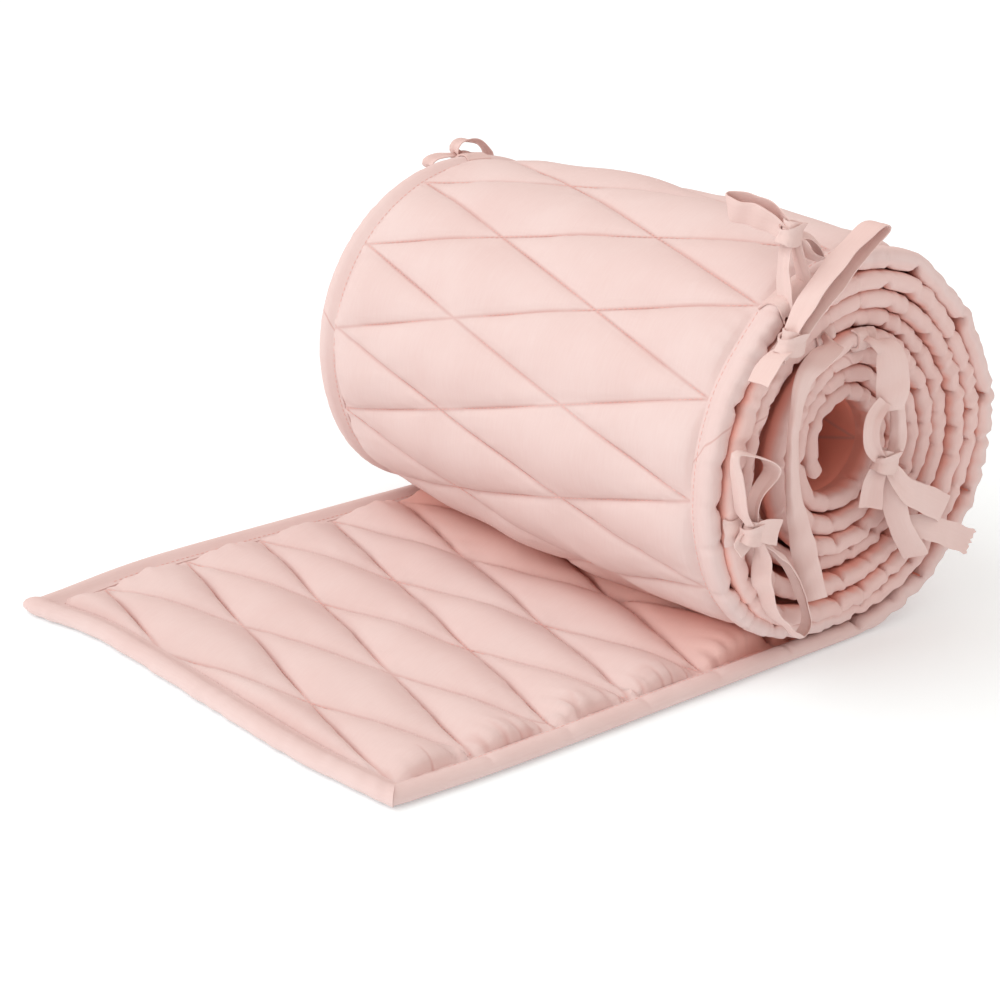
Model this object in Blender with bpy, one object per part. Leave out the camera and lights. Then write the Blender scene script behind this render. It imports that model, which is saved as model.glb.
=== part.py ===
"""A quilted crib bumper, rolled up, with its last stretch lying flat in front of the roll.

The strip is laid out flat first, in its own cloth coordinates: x across the strip, s along it from the
free end of the tail, h through it from its middle. `wound` then carries each point to where the roll
holds it. The tail lies on the floor, passes under the roll, climbs its back and winds inwards.
"""

import math

import bmesh
import bpy
import numpy as np
from mathutils import Vector

MM = 0.001

# ---- the strip, as cut and sewn ----
HEIGHT = 0.300              # the bumper's height, which lies along the roll
BAND = 0.0147               # width of the folded edge binding
PITCH = 0.048               # length of one quilted diamond along the strip
FIRST_DIAMOND = 0.0368      # from the tail's free end to the first stitched corner
QUARTERS = 269              # quarter diamonds along the stitched length
LENGTH = FIRST_DIAMOND + QUARTERS * PITCH / 4 + BAND
DIAMONDS_ACROSS = 1.5       # pitches that a stitch line moves along while it crosses the strip

# ---- half thicknesses ----
PUFF = 0.0042               # middle of a diamond on the tail and the outer turn
FREE_PUFF = 0.0054          # the same on the outer turn's outer face, where nothing presses on it
PRESSED = 0.0037            # middle of a diamond between the turns
SEAM = 0.0018               # along a stitch line
RAW_EDGE = 0.0014           # the panel's own edge inside the binding
RAW_INSET = 0.0016          # from the binding's nose to the panel's edge
FLOOR_SEAM = (0.0034, 0.0016)   # stitch lines on the floor: heights of the upper and lower face
FLOOR_EDGE = (0.0036, 0.0016)   # the panel's own edge there
CLOTH_GAP = 0.0003          # between two pieces that touch
BINDING_WALL = 0.0009       # binding cloth, turned under
NOSE = 0.0020               # blunt front of the folded binding
MITRE_STEP = 0.0045         # from a mitre's inner corner to the next section
FLOOR_MIDDLE = PUFF         # height of the strip's middle where it lies on the floor

# ---- the roll ----
AXIS_Y = 0.293              # from the tail's free end to the core
AXIS_Z = FLOOR_MIDDLE + 0.095
LEAN_Z = 0.17               # the near end stands a little taller: share of height for each metre along X
LEAN_Y = 0.013              # and a little further back
SHOULDER = (132.0, 38.0, 0.0095)    # the upper back is pressed flatter: angle from straight down, width, depth
BULGE = (315.0, 31.0, 0.0085)       # the lower front swells over the tail: angle, width, height
STRETCH = 0.013             # the quilting is drawn this much longer on its way up the back
STRETCH_FROM, STRETCH_TO = 0.26, 0.60
TURNS = 8.2                 # from straight under the core, more than the strip's length needs

# Middle of the strip in each turn, in mm from the core's axis, starting straight under it,
# and how far its edge slips along the roll, in mm towards the near end.
WINDING = (
    # under, back, top, front   slip under, back, top, front
    (95.0, 95.5, 95.6, 103.2, 0.0, 0.0, 0.0, 0.0),
    (84.9, 85.6, 85.8, 92.2, 0.0, -1.0, 1.0, 4.0),
    (76.3, 75.8, 75.4, 81.0, 1.0, -2.0, -2.0, 0.0),
    (66.9, 65.9, 65.5, 68.0, -3.0, -5.0, -7.0, -12.0),
    (57.5, 56.0, 55.6, 56.5, -9.0, -7.0, -4.0, -3.0),
    (48.1, 46.1, 45.7, 45.0, -5.0, -8.0, -8.0, -7.0),
    (38.8, 36.6, 36.0, 34.0, -9.0, -11.0, -11.0, -11.0),
    (29.4, 27.2, 26.0, 21.4, -12.0, -13.0, -14.0, -14.0),
    (20.2, 20.2, 20.2, 20.2, -14.0, -14.0, -14.0, -14.0),
)
FINE_TURNS = 1.1            # the tail and the outer turn carry the full quilting grid
COARSE_TURNS = 5.0          # the hidden turns up to here carry one step for each half diamond

# ---- the tail's corners, as they lie ----
CORNER_REACH = 0.045
FAR_CORNER_PULL = (-0.004, -0.005)
NEAR_CORNER_PULL = (-0.003, 0.007)

# ---- ties ----
TAPE = 0.0012               # thickness of the tape
FOLDED, FLAT = 0.0022, 0.0014   # thickness of a sewn end folded over the binding, or flat on its nose
ALONG_X, UPRIGHT, SIDEWAYS = (1.0, 0.0, 0.0), (0.0, 0.35, 0.94), (0.65, 0.76, 0.0)
SLANTED, TIPPED, DROOPED = (0.0, 0.7, 0.7), (0.0, -0.35, 0.94), (0.0, 0.57, 0.82)

# Each tie: the edge it is sewn to (+1 near end, -1 far end), the turn of the roll, the width and the
# thickness of the sewn end; the knot's middle and radii; and its strands. A strand is a list of places of
# the tape's middle (x, y, z, width in mm, y from the tail's free end) and the direction of its width.
TIES = {
    "tie_top": {
        "sewn": (1, 0.597, 21.0, FOLDED),
        "knot": ((146.5, 235.0, 219.0), (4.6, 5.0, 5.6)),
        "strands": (
            (ALONG_X, ((146.0, 231.2, 187.3, 5), (146.5, 230.3, 201.0, 8), (146.8, 233.4, 219.2, 6))),
            (ALONG_X, ((146.0, 242.0, 193.5, 5), (146.5, 241.4, 204.0, 8), (146.2, 236.4, 217.6, 6))),
            (TIPPED, ((148.0, 234.1, 218.5, 7), (133.0, 233.6, 222.2, 13), (118.0, 234.2, 222.9, 13),
                      (107.5, 234.8, 223.2, 13), (104.8, 237.3, 224.1, 13), (108.0, 239.8, 225.0, 13),
                      (124.0, 239.4, 225.0, 13), (138.0, 238.0, 223.4, 12), (147.0, 235.9, 219.5, 7))),
            (ALONG_X, ((146.5, 234.2, 219.0, 6), (146.0, 244.2, 217.3, 8), (146.0, 254.1, 210.4, 8),
                       (146.0, 257.0, 203.5, 8), (146.0, 248.4, 206.9, 8), (146.5, 236.0, 216.6, 6))),
        ),
    },
    "tie_upper": {
        "sewn": (1, 1.625, 11.0, FLAT),
        "knot": ((160.0, 225.5, 172.0), (4.8, 7.4, 7.4)),
        "strands": (
            (SLANTED, ((153.9, 231.3, 167.0, 7), (157.0, 229.4, 169.4, 8), (160.0, 226.0, 171.5, 7))),
            (ALONG_X, ((160.0, 226.6, 170.8, 7), (161.0, 239.0, 177.7, 11), (162.0, 254.5, 188.6, 12),
                       (162.0, 269.5, 201.3, 12), (162.0, 279.3, 212.0, 12), (162.0, 279.9, 219.0, 11),
                       (162.0, 272.1, 220.1, 12), (162.0, 255.0, 211.3, 12), (162.0, 240.3, 197.7, 12),
                       (161.0, 229.4, 184.0, 11), (160.0, 224.2, 174.0, 7))),
            (ALONG_X, ((160.0, 224.8, 172.0, 8), (160.0, 215.8, 167.8, 12), (160.0, 209.7, 162.4, 12.5),
                       (160.0, 205.0, 156.7, 12.5))),
        ),
    },
    "tie_lower": {
        "sewn": (1, 1.780, 11.0, FLAT),
        "knot": ((160.0, 207.4, 84.0), (4.8, 6.6, 6.6)),
        "strands": (
            (UPRIGHT, ((155.4, 203.6, 84.0, 6), (157.5, 205.2, 84.2, 8), (160.0, 207.0, 84.3, 7))),
            (ALONG_X, ((160.0, 206.4, 85.5, 6), (160.0, 198.0, 94.5, 9), (160.0, 194.0, 108.0, 10),
                       (160.0, 193.7, 119.2, 10), (160.0, 197.4, 124.0, 10), (160.0, 207.3, 121.1, 10),
                       (160.0, 217.1, 114.8, 10), (160.0, 213.6, 107.0, 10), (160.0, 206.0, 99.5, 9),
                       (160.0, 208.5, 86.6, 6))),
            (ALONG_X, ((160.0, 207.6, 82.8, 6), (160.0, 214.9, 70.6, 10), (160.0, 215.8, 55.4, 11),
                       (160.0, 224.7, 38.6, 11), (160.0, 238.1, 24.7, 11), (160.0, 248.0, 20.8, 11),
                       (160.0, 251.4, 28.7, 11), (160.0, 243.7, 45.7, 11), (160.0, 231.0, 63.5, 10),
                       (160.0, 210.4, 81.0, 6))),
            (UPRIGHT, ((162.5, 205.0, 84.7, 8), (165.3, 210.3, 85.4, 12), (166.0, 219.2, 82.8, 12.5))),
            (UPRIGHT, ((160.0, 206.0, 82.5, 7), (160.0, 201.6, 79.9, 10), (160.0, 197.4, 77.5, 10))),
        ),
    },
    "strap_long": {
        "sewn": (1, 3.565, 12.0, FLAT),
        "knot": None,
        "strands": (
            (SIDEWAYS, ((142.7, 268.4, 163.7, 5), (149.0, 265.5, 162.4, 8), (156.5, 257.0, 163.0, 11),
                        (158.5, 247.0, 160.2, 12), (158.5, 237.2, 151.9, 13), (158.5, 233.3, 133.2, 13),
                        (158.5, 234.3, 113.2, 13), (158.5, 238.3, 92.3, 13), (158.5, 245.5, 67.6, 13),
                        (158.5, 255.5, 36.3, 12))),
        ),
    },
    "tie_core": {
        "sewn": (1, 4.505, 12.0, FLAT),
        "knot": ((159.5, 299.5, 98.5), (4.6, 7.6, 6.6)),
        "strands": (
            (SIDEWAYS, ((147.1, 293.4, 157.6, 8), (151.0, 294.4, 158.4, 10), (157.0, 296.7, 156.0, 12),
                        (160.0, 297.5, 148.4, 15), (161.0, 298.4, 137.0, 16), (160.0, 299.0, 125.0, 13))),
            (SIDEWAYS, ((159.6, 295.0, 129.8, 7), (159.0, 287.9, 121.0, 8), (159.0, 288.9, 108.9, 8),
                        (159.5, 297.0, 99.3, 6))),
            (SIDEWAYS, ((159.6, 303.6, 129.2, 7), (159.0, 307.6, 114.5, 8), (159.0, 307.6, 104.1, 8),
                        (159.5, 302.0, 97.6, 6))),
            (SIDEWAYS, ((159.5, 297.2, 98.0, 7), (158.5, 292.9, 88.9, 10), (158.5, 291.9, 75.3, 11))),
            (SIDEWAYS, ((159.5, 300.5, 97.3, 7), (160.0, 305.6, 81.1, 11), (160.0, 313.9, 61.7, 12),
                        (160.0, 328.6, 41.3, 12.5))),
            (DROOPED, ((160.5, 299.4, 99.0, 7), (165.0, 311.0, 90.5, 11), (165.8, 327.0, 79.5, 13),
                       (165.5, 339.5, 70.9, 13), (163.0, 343.0, 68.5, 13), (160.3, 339.5, 70.9, 13),
                       (159.2, 327.0, 79.6, 12), (159.2, 314.0, 88.5, 9), (160.0, 302.0, 97.0, 6))),
            (UPRIGHT, ((160.3, 315.0, 61.9, 8), (162.5, 328.0, 58.5, 12), (165.0, 343.0, 52.2, 13),
                       (166.0, 363.9, 42.0, 14))),
        ),
    },
    "tie_far": {
        "sewn": (-1, 0.508, 12.0, FOLDED),
        "knot": ((-156.5, 290.5, 190.0), (4.4, 4.8, 4.2)),
        "strands": (
            (ALONG_X, ((-157.0, 291.0, 190.0, 6), (-157.0, 285.6, 196.1, 9), (-157.0, 287.3, 200.2, 9),
                       (-157.0, 293.8, 201.6, 9), (-157.0, 303.4, 198.0, 9), (-157.0, 309.2, 191.4, 9),
                       (-157.0, 302.6, 188.3, 8), (-157.0, 291.6, 189.0, 6))),
            (ALONG_X, ((-156.0, 290.0, 191.4, 6), (-155.5, 278.9, 194.5, 9), (-155.5, 268.2, 194.1, 9),
                       (-155.5, 265.3, 191.3, 9), (-155.5, 273.2, 189.0, 8), (-156.0, 290.0, 189.0, 6))),
        ),
    },
}

# The whole part's middle, so that its origin lies on the floor under the middle of its box.
ORIGIN = Vector((0.0020, 0.1933, 0.0))


# ---------------------------------------------------------------- the wound shape

def table_curve(column):
    """Value of one WINDING column group (four columns a turn) as a smooth function of the turn."""
    values = [row[column + quarter] for row in WINDING for quarter in range(4)]
    values = [values[0]] + values + [values[-1]]

    def curve(turn):
        place = min(max(turn * 4, 0.0), len(values) - 3 - 1e-9)
        first = int(place)
        t = place - first
        a, b, c, d = values[first:first + 4]
        slope_b, slope_c = (c - a) / 2, (d - b) / 2
        return (b * (1 + 2 * t) * (1 - t) ** 2 + slope_b * t * (1 - t) ** 2
                + c * t * t * (3 - 2 * t) + slope_c * t * t * (t - 1))
    return curve


radius_at = table_curve(0)
slip_at = table_curve(4)


def swell(turn):
    """What the pressed shoulder and the swollen front add to the radius at this turn."""
    angle = (turn * 360.0) % 360.0
    centre, width, depth = SHOULDER
    flat = depth * (1.0 - turn / (TURNS + 1.0)) * math.exp(-((angle - centre) / width) ** 2)
    centre, width, height = BULGE
    away = (angle - centre + 180.0) % 360.0 - 180.0
    fade = min(max(1.0 - (turn - centre / 360.0) / 3.0, 0.0), 1.0) if turn > 0.4 else 0.0
    return height * fade * math.exp(-(away / width) ** 2) - flat


def middle_line():
    """The strip's middle seen along the roll: arc length, turn and (y, z) of closely spaced points."""
    turns = np.linspace(0.0, TURNS, 2800)
    radii = np.array([radius_at(t) * MM + swell(t) for t in turns])
    angles = turns * 2 * math.pi
    y = AXIS_Y + radii * np.sin(angles)
    z = AXIS_Z - radii * np.cos(angles)
    tail = np.arange(-0.02, AXIS_Y - 0.002, 0.002)
    y = np.concatenate([tail, y])
    z = np.concatenate([np.full(len(tail), FLOOR_MIDDLE), z])
    turns = np.concatenate([(tail - AXIS_Y) / 0.6, turns])
    steps = np.hypot(np.diff(y), np.diff(z))
    s = np.concatenate([[0.0], np.cumsum(steps)]) + tail[0]
    return s, turns, y, z


LINE_S, LINE_TURN, LINE_Y, LINE_Z = middle_line()
TANGENT_Y = np.gradient(LINE_Y, LINE_S)
TANGENT_Z = np.gradient(LINE_Z, LINE_S)


def path_at(s):
    """Place on the middle line of a place on the flat strip."""
    share = min(max((s - STRETCH_FROM) / (STRETCH_TO - STRETCH_FROM), 0.0), 1.0)
    return s + STRETCH * share


def turn_at(s):
    return float(np.interp(path_at(s), LINE_S, LINE_TURN))


def on_floor(s):
    """1 where the strip lies on the floor, falling to 0 as it starts up the back of the roll."""
    return min(max(1.0 - turn_at(s) / 0.06, 0.0), 1.0)


def wound(x, s, h):
    """Carry a point of the flat strip to its place: h is positive towards the inside of the roll."""
    path = path_at(s)
    y = float(np.interp(path, LINE_S, LINE_Y))
    z = float(np.interp(path, LINE_S, LINE_Z))
    ty = float(np.interp(path, LINE_S, TANGENT_Y))
    tz = float(np.interp(path, LINE_S, TANGENT_Z))
    size = math.hypot(ty, tz)
    y -= h * tz / size
    z += h * ty / size
    turn = turn_at(s)
    lift = min(max(turn, 0.0) * 4, 1.0)
    y += LEAN_Y * x * min(max(z / AXIS_Z, 0.0), 1.0) * lift
    z *= 1.0 + LEAN_Z * x * lift
    place_x = x + slip_at(max(turn, 0.0)) * MM
    for side, pull in ((-1, FAR_CORNER_PULL), (1, NEAR_CORNER_PULL)):
        away = math.hypot(x - side * HEIGHT / 2, s) / CORNER_REACH
        share = math.exp(-away * away) if turn < 0 else 0.0
        place_x += pull[0] * share
        y += pull[1] * share
    return Vector((place_x, y, z)) - ORIGIN


# ---------------------------------------------------------------- mesh helpers

def colour_material(name, colour, roughness):
    material = bpy.data.materials.new(name)
    material.use_nodes = True
    shader = material.node_tree.nodes["Principled BSDF"]
    shader.inputs["Base Color"].default_value = (*colour, 1.0)
    shader.inputs["Roughness"].default_value = roughness
    shader.inputs["Metallic"].default_value = 0.0
    return material


def finish(bm, name, material, crease=35.0):
    """Turn a closed bmesh into a named object, shaded smooth up to the crease angle."""
    bmesh.ops.triangulate(bm, faces=[f for f in bm.faces if len(f.verts) > 3])
    bmesh.ops.recalc_face_normals(bm, faces=bm.faces)
    mesh = bpy.data.meshes.new(name)
    bm.to_mesh(mesh)
    bm.free()
    mesh.materials.append(material)
    mesh.shade_smooth()
    mesh.set_sharp_from_angle(angle=math.radians(crease))
    thing = bpy.data.objects.new(name, mesh)
    bpy.context.scene.collection.objects.link(thing)
    return thing


def skin(bm, rings, caps):
    """Join closed rings of equally many points into a tube and close both ends with the cap faces."""
    rows = [[bm.verts.new(point) for point in ring] for ring in rings]
    count = len(rows[0])
    for near, far in zip(rows, rows[1:]):
        for i in range(count):
            j = (i + 1) % count
            bm.faces.new((near[i], near[j], far[j], far[i]))
    for row in (rows[0], rows[-1]):
        for cap in caps:
            bm.faces.new([row[i] for i in cap])


# ---------------------------------------------------------------- the quilted panel

def puff(fraction, s):
    """Height of the quilting, 0 on a stitch line to 1 in the middle of a diamond."""
    if fraction in (0.0, 1.0):
        return 0.0
    along = (s - FIRST_DIAMOND) / PITCH
    across = DIAMONDS_ACROSS * fraction
    rise = abs(math.sin(math.pi * (along - across)) * math.sin(math.pi * (along + across)))
    return 0.0 if rise < 1e-6 else rise ** 0.4


def lattice_rows():
    """Rows of the panel from end to end: place along the strip and fractions across the stitched width.

    A full row meets every crossing and half diamond. Between the turns a row keeps only the points
    that the stitch lines and the middles of the diamonds need.
    """
    full = [i / 6 for i in range(7)]
    even = [i / 3 for i in range(4)]
    odd = [0.0, 1 / 6, 1 / 2, 5 / 6, 1.0]
    rows = [(RAW_INSET, full), (BAND, full), (BAND + MITRE_STEP, full)]
    for quarter in range(-1, QUARTERS + 1):
        s = FIRST_DIAMOND + quarter * PITCH / 4
        turn = turn_at(s)
        if turn < FINE_TURNS:
            rows.append((s, full))
        elif quarter % 2 == 0:
            rows.append((s, even))
        elif turn > COARSE_TURNS:
            rows.append((s, odd))
    return rows


def zip_rows(bm, near, far):
    """Triangles between two rows of (fraction, height, vertex), with edges along the stitch lines."""
    i = j = 0
    while i < len(near) - 1 or j < len(far) - 1:
        if i == len(near) - 1:
            step_near = False
        elif j == len(far) - 1:
            step_near = True
        else:
            gap = near[i + 1][0] - far[j + 1][0]
            step_near = gap < -1e-9
            if abs(gap) <= 1e-9:
                low_near = (near[i + 1][1], far[j][1])
                low_far = (near[i][1], far[j + 1][1])
                if max(low_near) < 1e-6:
                    step_near = True
                elif max(low_far) >= 1e-6:
                    step_near = sum(low_near) > sum(low_far)
        if step_near:
            bm.faces.new((near[i][2], near[i + 1][2], far[j][2]))
            i += 1
        else:
            bm.faces.new((near[i][2], far[j + 1][2], far[j][2]))
            j += 1


def panel_faces(rise, s):
    """Heights of the panel's inner and outer face from its middle, for a puff of 0 to 1 (-1: raw edge)."""
    top = PUFF if turn_at(s) < 1.0 else PRESSED
    half = RAW_EDGE if rise < 0.0 else SEAM + (top - SEAM) * rise
    low_up, low_down = FLOOR_EDGE if rise < 0.0 else FLOOR_SEAM
    if rise > 0.0:
        low_up, low_down = low_up + (2 * PUFF - low_up) * rise, 0.0
    share = on_floor(s)
    up = share * (low_up - FLOOR_MIDDLE) + (1.0 - share) * half
    if rise > 0.0 and turn_at(s) < 0.88:
        half = SEAM + (FREE_PUFF - SEAM) * rise
    down = share * (low_down - FLOOR_MIDDLE) - (1.0 - share) * half
    return up, down


def build_panel(material):
    bm = bmesh.new()
    width = HEIGHT - 2 * BAND
    last = (LENGTH - BAND) - 1e-6
    faces = []
    for s, fractions in lattice_rows():
        row_up, row_down = [], []
        places = [(-1.0, -HEIGHT / 2 + RAW_INSET)]
        places += [(f, -width / 2 + f * width) for f in fractions]
        places += [(2.0, HEIGHT / 2 - RAW_INSET)]
        for fraction, x in places:
            if s < BAND - 1e-6 or fraction in (-1.0, 2.0):
                rise = -1.0
            elif s < BAND + 1e-6 or s > last:
                rise = 0.0
            else:
                rise = puff(fraction, s)
            up, down = panel_faces(rise, s)
            row_up.append((fraction, rise, bm.verts.new(wound(x, s, up))))
            row_down.append((fraction, rise, bm.verts.new(wound(x, s, down))))
        faces.append((row_up, row_down))
    for (near_up, near_down), (far_up, far_down) in zip(faces, faces[1:]):
        zip_rows(bm, near_up, far_up)
        zip_rows(bm, near_down, far_down)
        for edge in (0, -1):
            bm.faces.new((near_up[edge][2], far_up[edge][2], far_down[edge][2], near_down[edge][2]))
    for row_up, row_down in (faces[0], faces[-1]):
        for i in range(len(row_up) - 1):
            bm.faces.new((row_up[i][2], row_up[i + 1][2], row_down[i + 1][2], row_down[i][2]))
    return finish(bm, "quilted_panel", material, crease=11.0)


# ---------------------------------------------------------------- the bindings

# The ends of the folded section, as faces between its outer points (0 to 5) and inner points (6 to 9).
BINDING_CAPS = ((0, 1, 8, 9), (1, 2, 8), (2, 3, 7, 8), (3, 4, 7), (4, 5, 6, 7))
FILLED_CAPS = ((0, 1, 4, 5), (1, 2, 3, 4))


def binding_profile(s):
    """Section of the folded binding: distance in from its nose and height from the strip's middle."""
    top = PUFF if turn_at(s) < 1.0 else PRESSED
    cover = CLOTH_GAP + BINDING_WALL
    depths = (BAND - CLOTH_GAP, 0.0060, 0.0, 0.0, 0.0060, BAND - CLOTH_GAP,
              BAND - CLOTH_GAP, RAW_INSET - CLOTH_GAP, RAW_INSET - CLOTH_GAP, BAND - CLOTH_GAP)
    rolled = (SEAM + cover, top - 0.0003, NOSE, -NOSE, 0.0003 - top, -SEAM - cover,
              -SEAM - CLOTH_GAP, -RAW_EDGE - CLOTH_GAP, RAW_EDGE + CLOTH_GAP, SEAM + CLOTH_GAP)
    lying = (FLOOR_SEAM[0] + cover, 0.0070, 0.0048, 0.0010, 0.0003, 0.0003,
             FLOOR_EDGE[1] - CLOTH_GAP, FLOOR_EDGE[1] - CLOTH_GAP, FLOOR_EDGE[0] + CLOTH_GAP,
             FLOOR_SEAM[0] + CLOTH_GAP)
    share = on_floor(s)
    return [(u, share * (low - FLOOR_MIDDLE) + (1.0 - share) * high)
            for u, high, low in zip(depths, rolled, lying)]


def long_binding(name, side, material):
    """A binding folded over one long edge: side is -1 for the far end of the roll, +1 for the near."""
    mitre = CLOTH_GAP / math.sqrt(2)
    stations = [s for s, _ in lattice_rows()
                 if BAND + 0.001 < s < LENGTH - BAND - 0.001
                 and (turn_at(s) > -0.05 or s < 3 * CORNER_REACH
                      or round((s - FIRST_DIAMOND) / PITCH * 4) % 4 == 0)]
    stations += [LENGTH - BAND - CLOTH_GAP]
    rings = []
    for s in [None] + stations + [LENGTH]:
        ring = []
        for u, h in binding_profile(s or 0.0):
            if s is None:
                place = u + mitre
            elif s == LENGTH:
                place = LENGTH - u - mitre
            else:
                place = s
            ring.append(wound(side * (HEIGHT / 2 - u), place, h))
        rings.append(ring)
    bm = bmesh.new()
    skin(bm, rings, BINDING_CAPS)
    return finish(bm, name, material)


def short_binding(name, at_tail, material):
    """The binding of one short end, cut at 45 degrees where it meets the long ones.

    At the tail it is folded over the panel; at the core the panel ends against it.
    """
    mitre = CLOTH_GAP / math.sqrt(2)
    width = HEIGHT - 2 * BAND
    inner = [-width / 2 + i / 6 * width for i in range(1, 6)]
    inner = [-width / 2 + MITRE_STEP] + inner + [width / 2 - MITRE_STEP]
    rings = []
    for x in [None] + inner + [HEIGHT]:
        ring = []
        for u, h in binding_profile(0.0) if at_tail else binding_profile(LENGTH)[:6]:
            s = u if at_tail else LENGTH - u
            if x is None:
                place = -HEIGHT / 2 + u + mitre
            elif x == HEIGHT:
                place = HEIGHT / 2 - u - mitre
            else:
                place = x
            ring.append(wound(place, s, h))
        rings.append(ring)
    bm = bmesh.new()
    skin(bm, rings, BINDING_CAPS if at_tail else FILLED_CAPS)
    return finish(bm, name, material)


# ---------------------------------------------------------------- the ties

def sewn_end(bm, side, turn, width, thick):
    """The tie's end on the binding's nose; a folded one also covers some of the binding's outer face."""
    s = float(np.interp(turn, LINE_TURN, LINE_S)) - STRETCH
    section = [(-CLOTH_GAP, -NOSE), (-CLOTH_GAP, NOSE), (-CLOTH_GAP - thick, NOSE), (-CLOTH_GAP - thick, -NOSE)]
    caps, stations = ((0, 1, 2, 3),), (-0.5, 0.5)
    if thick == FOLDED:
        face = PUFF - 0.0003 + CLOTH_GAP
        section = [(0.0065, face), (0.0055, face), (-CLOTH_GAP, NOSE + 0.0002), (-CLOTH_GAP, -NOSE),
                   (-CLOTH_GAP - thick, -NOSE), (-CLOTH_GAP - thick, NOSE + 0.0006),
                   (0.0055, face + thick), (0.0065, face + thick)]
        caps, stations = ((0, 1, 6, 7), (1, 2, 5, 6), (2, 3, 4, 5)), (-0.5, -0.17, 0.17, 0.5)
    rings = [[wound(side * (HEIGHT / 2 - u), s + place * width, -h) for u, h in section] for place in stations]
    skin(bm, rings, caps)


def smooth_places(rows, steps):
    """Catmull-Rom places between the rows of a strand."""
    points = np.array(rows, dtype=float)
    points = np.vstack([2 * points[0] - points[1], points, 2 * points[-1] - points[-2]])
    places = []
    for i in range(1, len(points) - 2):
        a, b, c, d = points[i - 1:i + 3]
        for t in np.arange(steps) / steps:
            places.append(0.5 * (2 * b + (c - a) * t + (2 * a - 5 * b + 4 * c - d) * t ** 2
                                 + (3 * b - a - 3 * c + d) * t ** 3))
    places.append(points[-2])
    return np.array(places)


def strand(bm, facing, rows, steps=2):
    """One stretch of tape along the rows, closed at both ends."""
    places = smooth_places(rows, steps)
    ways = np.gradient(places[:, :3], axis=0)
    rings = []
    for (x, y, z, width), way in zip(places, ways):
        way = Vector(way).normalized()
        across = Vector(facing)
        across = (across - way * across.dot(way)).normalized()
        out = across.cross(way)
        middle = Vector((x, y, z)) * MM - ORIGIN
        half = width * MM / 2
        rings.append([middle + across * (a * half) + out * (o * TAPE / 2)
                      for a, o in ((-1, -1), (1, -1), (1, 1), (-1, 1))])
    skin(bm, rings, ((0, 1, 2, 3),))


def build_tie(name, tie, material):
    """The sewn end with the knot and the strands united to it."""
    bm = bmesh.new()
    side, turn, width, thick = tie["sewn"]
    sewn_end(bm, side, turn, width * MM, thick)
    body = finish(bm, name, material, crease=40.0)
    bm = bmesh.new()
    if tie["knot"]:
        middle, radii = tie["knot"]
        made = bmesh.ops.create_icosphere(bm, subdivisions=1, radius=1.0)
        for vert in made["verts"]:
            vert.co = (Vector(middle) + Vector(c * r for c, r in zip(vert.co, radii))) * MM - ORIGIN
    for facing, rows in tie["strands"]:
        strand(bm, facing, rows)
    tool = finish(bm, name + "_strands", material)
    tool.hide_render = True
    tool.display_type = "WIRE"
    join = body.modifiers.new("union", "BOOLEAN")
    join.operation = "UNION"
    join.solver = "EXACT"
    join.use_self = True
    join.object = tool


# ---------------------------------------------------------------- main

def clear_scene():
    for thing in list(bpy.data.objects):
        bpy.data.objects.remove(thing, do_unlink=True)


def main():
    clear_scene()
    cotton = colour_material("quilted_cotton", (0.86, 0.60, 0.56), 0.85)
    bias = colour_material("bias_cotton", (0.84, 0.56, 0.52), 0.85)
    build_panel(cotton)
    long_binding("binding_right", 1, bias)
    long_binding("binding_left", -1, bias)
    short_binding("binding_tail", True, bias)
    short_binding("binding_core", False, bias)
    tape = colour_material("tape_cotton", (0.87, 0.62, 0.58), 0.8)
    for name, tie in TIES.items():
        build_tie(name, tie, tape)


main()
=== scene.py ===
"""The looks of a rolled crib bumper: quilted cotton, bias bindings and tied tapes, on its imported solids.

Every piece of cloth starts as a flat slab in its own cloth coordinates, with its weave in its UV map, and
is then carried to the place where the roll holds it. Lengths are in metres, in the part's own frame.
"""

from __future__ import annotations

import logging
import math
from dataclasses import dataclass, field
from enum import Enum
from itertools import chain
from typing import Callable, Iterator, Sequence

import bmesh
import bpy
import numpy as np
from mathutils import Matrix, Vector

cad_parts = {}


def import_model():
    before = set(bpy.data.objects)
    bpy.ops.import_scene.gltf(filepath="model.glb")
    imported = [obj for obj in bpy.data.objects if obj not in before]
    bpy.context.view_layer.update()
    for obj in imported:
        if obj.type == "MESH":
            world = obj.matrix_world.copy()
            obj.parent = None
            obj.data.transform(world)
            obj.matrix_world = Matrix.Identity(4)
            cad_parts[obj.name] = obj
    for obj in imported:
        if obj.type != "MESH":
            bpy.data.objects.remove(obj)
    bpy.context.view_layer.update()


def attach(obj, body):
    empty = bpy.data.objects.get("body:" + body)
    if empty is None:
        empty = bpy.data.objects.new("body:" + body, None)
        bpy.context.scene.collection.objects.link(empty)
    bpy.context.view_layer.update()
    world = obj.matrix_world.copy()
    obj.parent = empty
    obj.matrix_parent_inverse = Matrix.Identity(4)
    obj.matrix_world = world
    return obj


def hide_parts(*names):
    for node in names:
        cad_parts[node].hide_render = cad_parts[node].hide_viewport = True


LOG = logging.getLogger("crib_bumper")
MM = 0.001
TINY = 1e-6
SHARP = math.radians(60.0)      # edges that turn further than this are shaded as edges
ORIGIN = np.array((0.0020, 0.1933, 0.0))    # the part's origin, from the tail's free end and the floor

Array = np.ndarray
Material = bpy.types.Material
Socket = bpy.types.NodeSocket
Triple = tuple[float, float, float]
Ramp = tuple[float, float]      # where a soft step starts, and its width, below 0 for a step down
Range = tuple[float, float]
Shape = Callable[[Array, Array, Array], Array]


class End(Enum):
    """The two ends of the roll, which are the two long edges of the strip."""

    NEAR = 1
    FAR = -1


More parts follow.
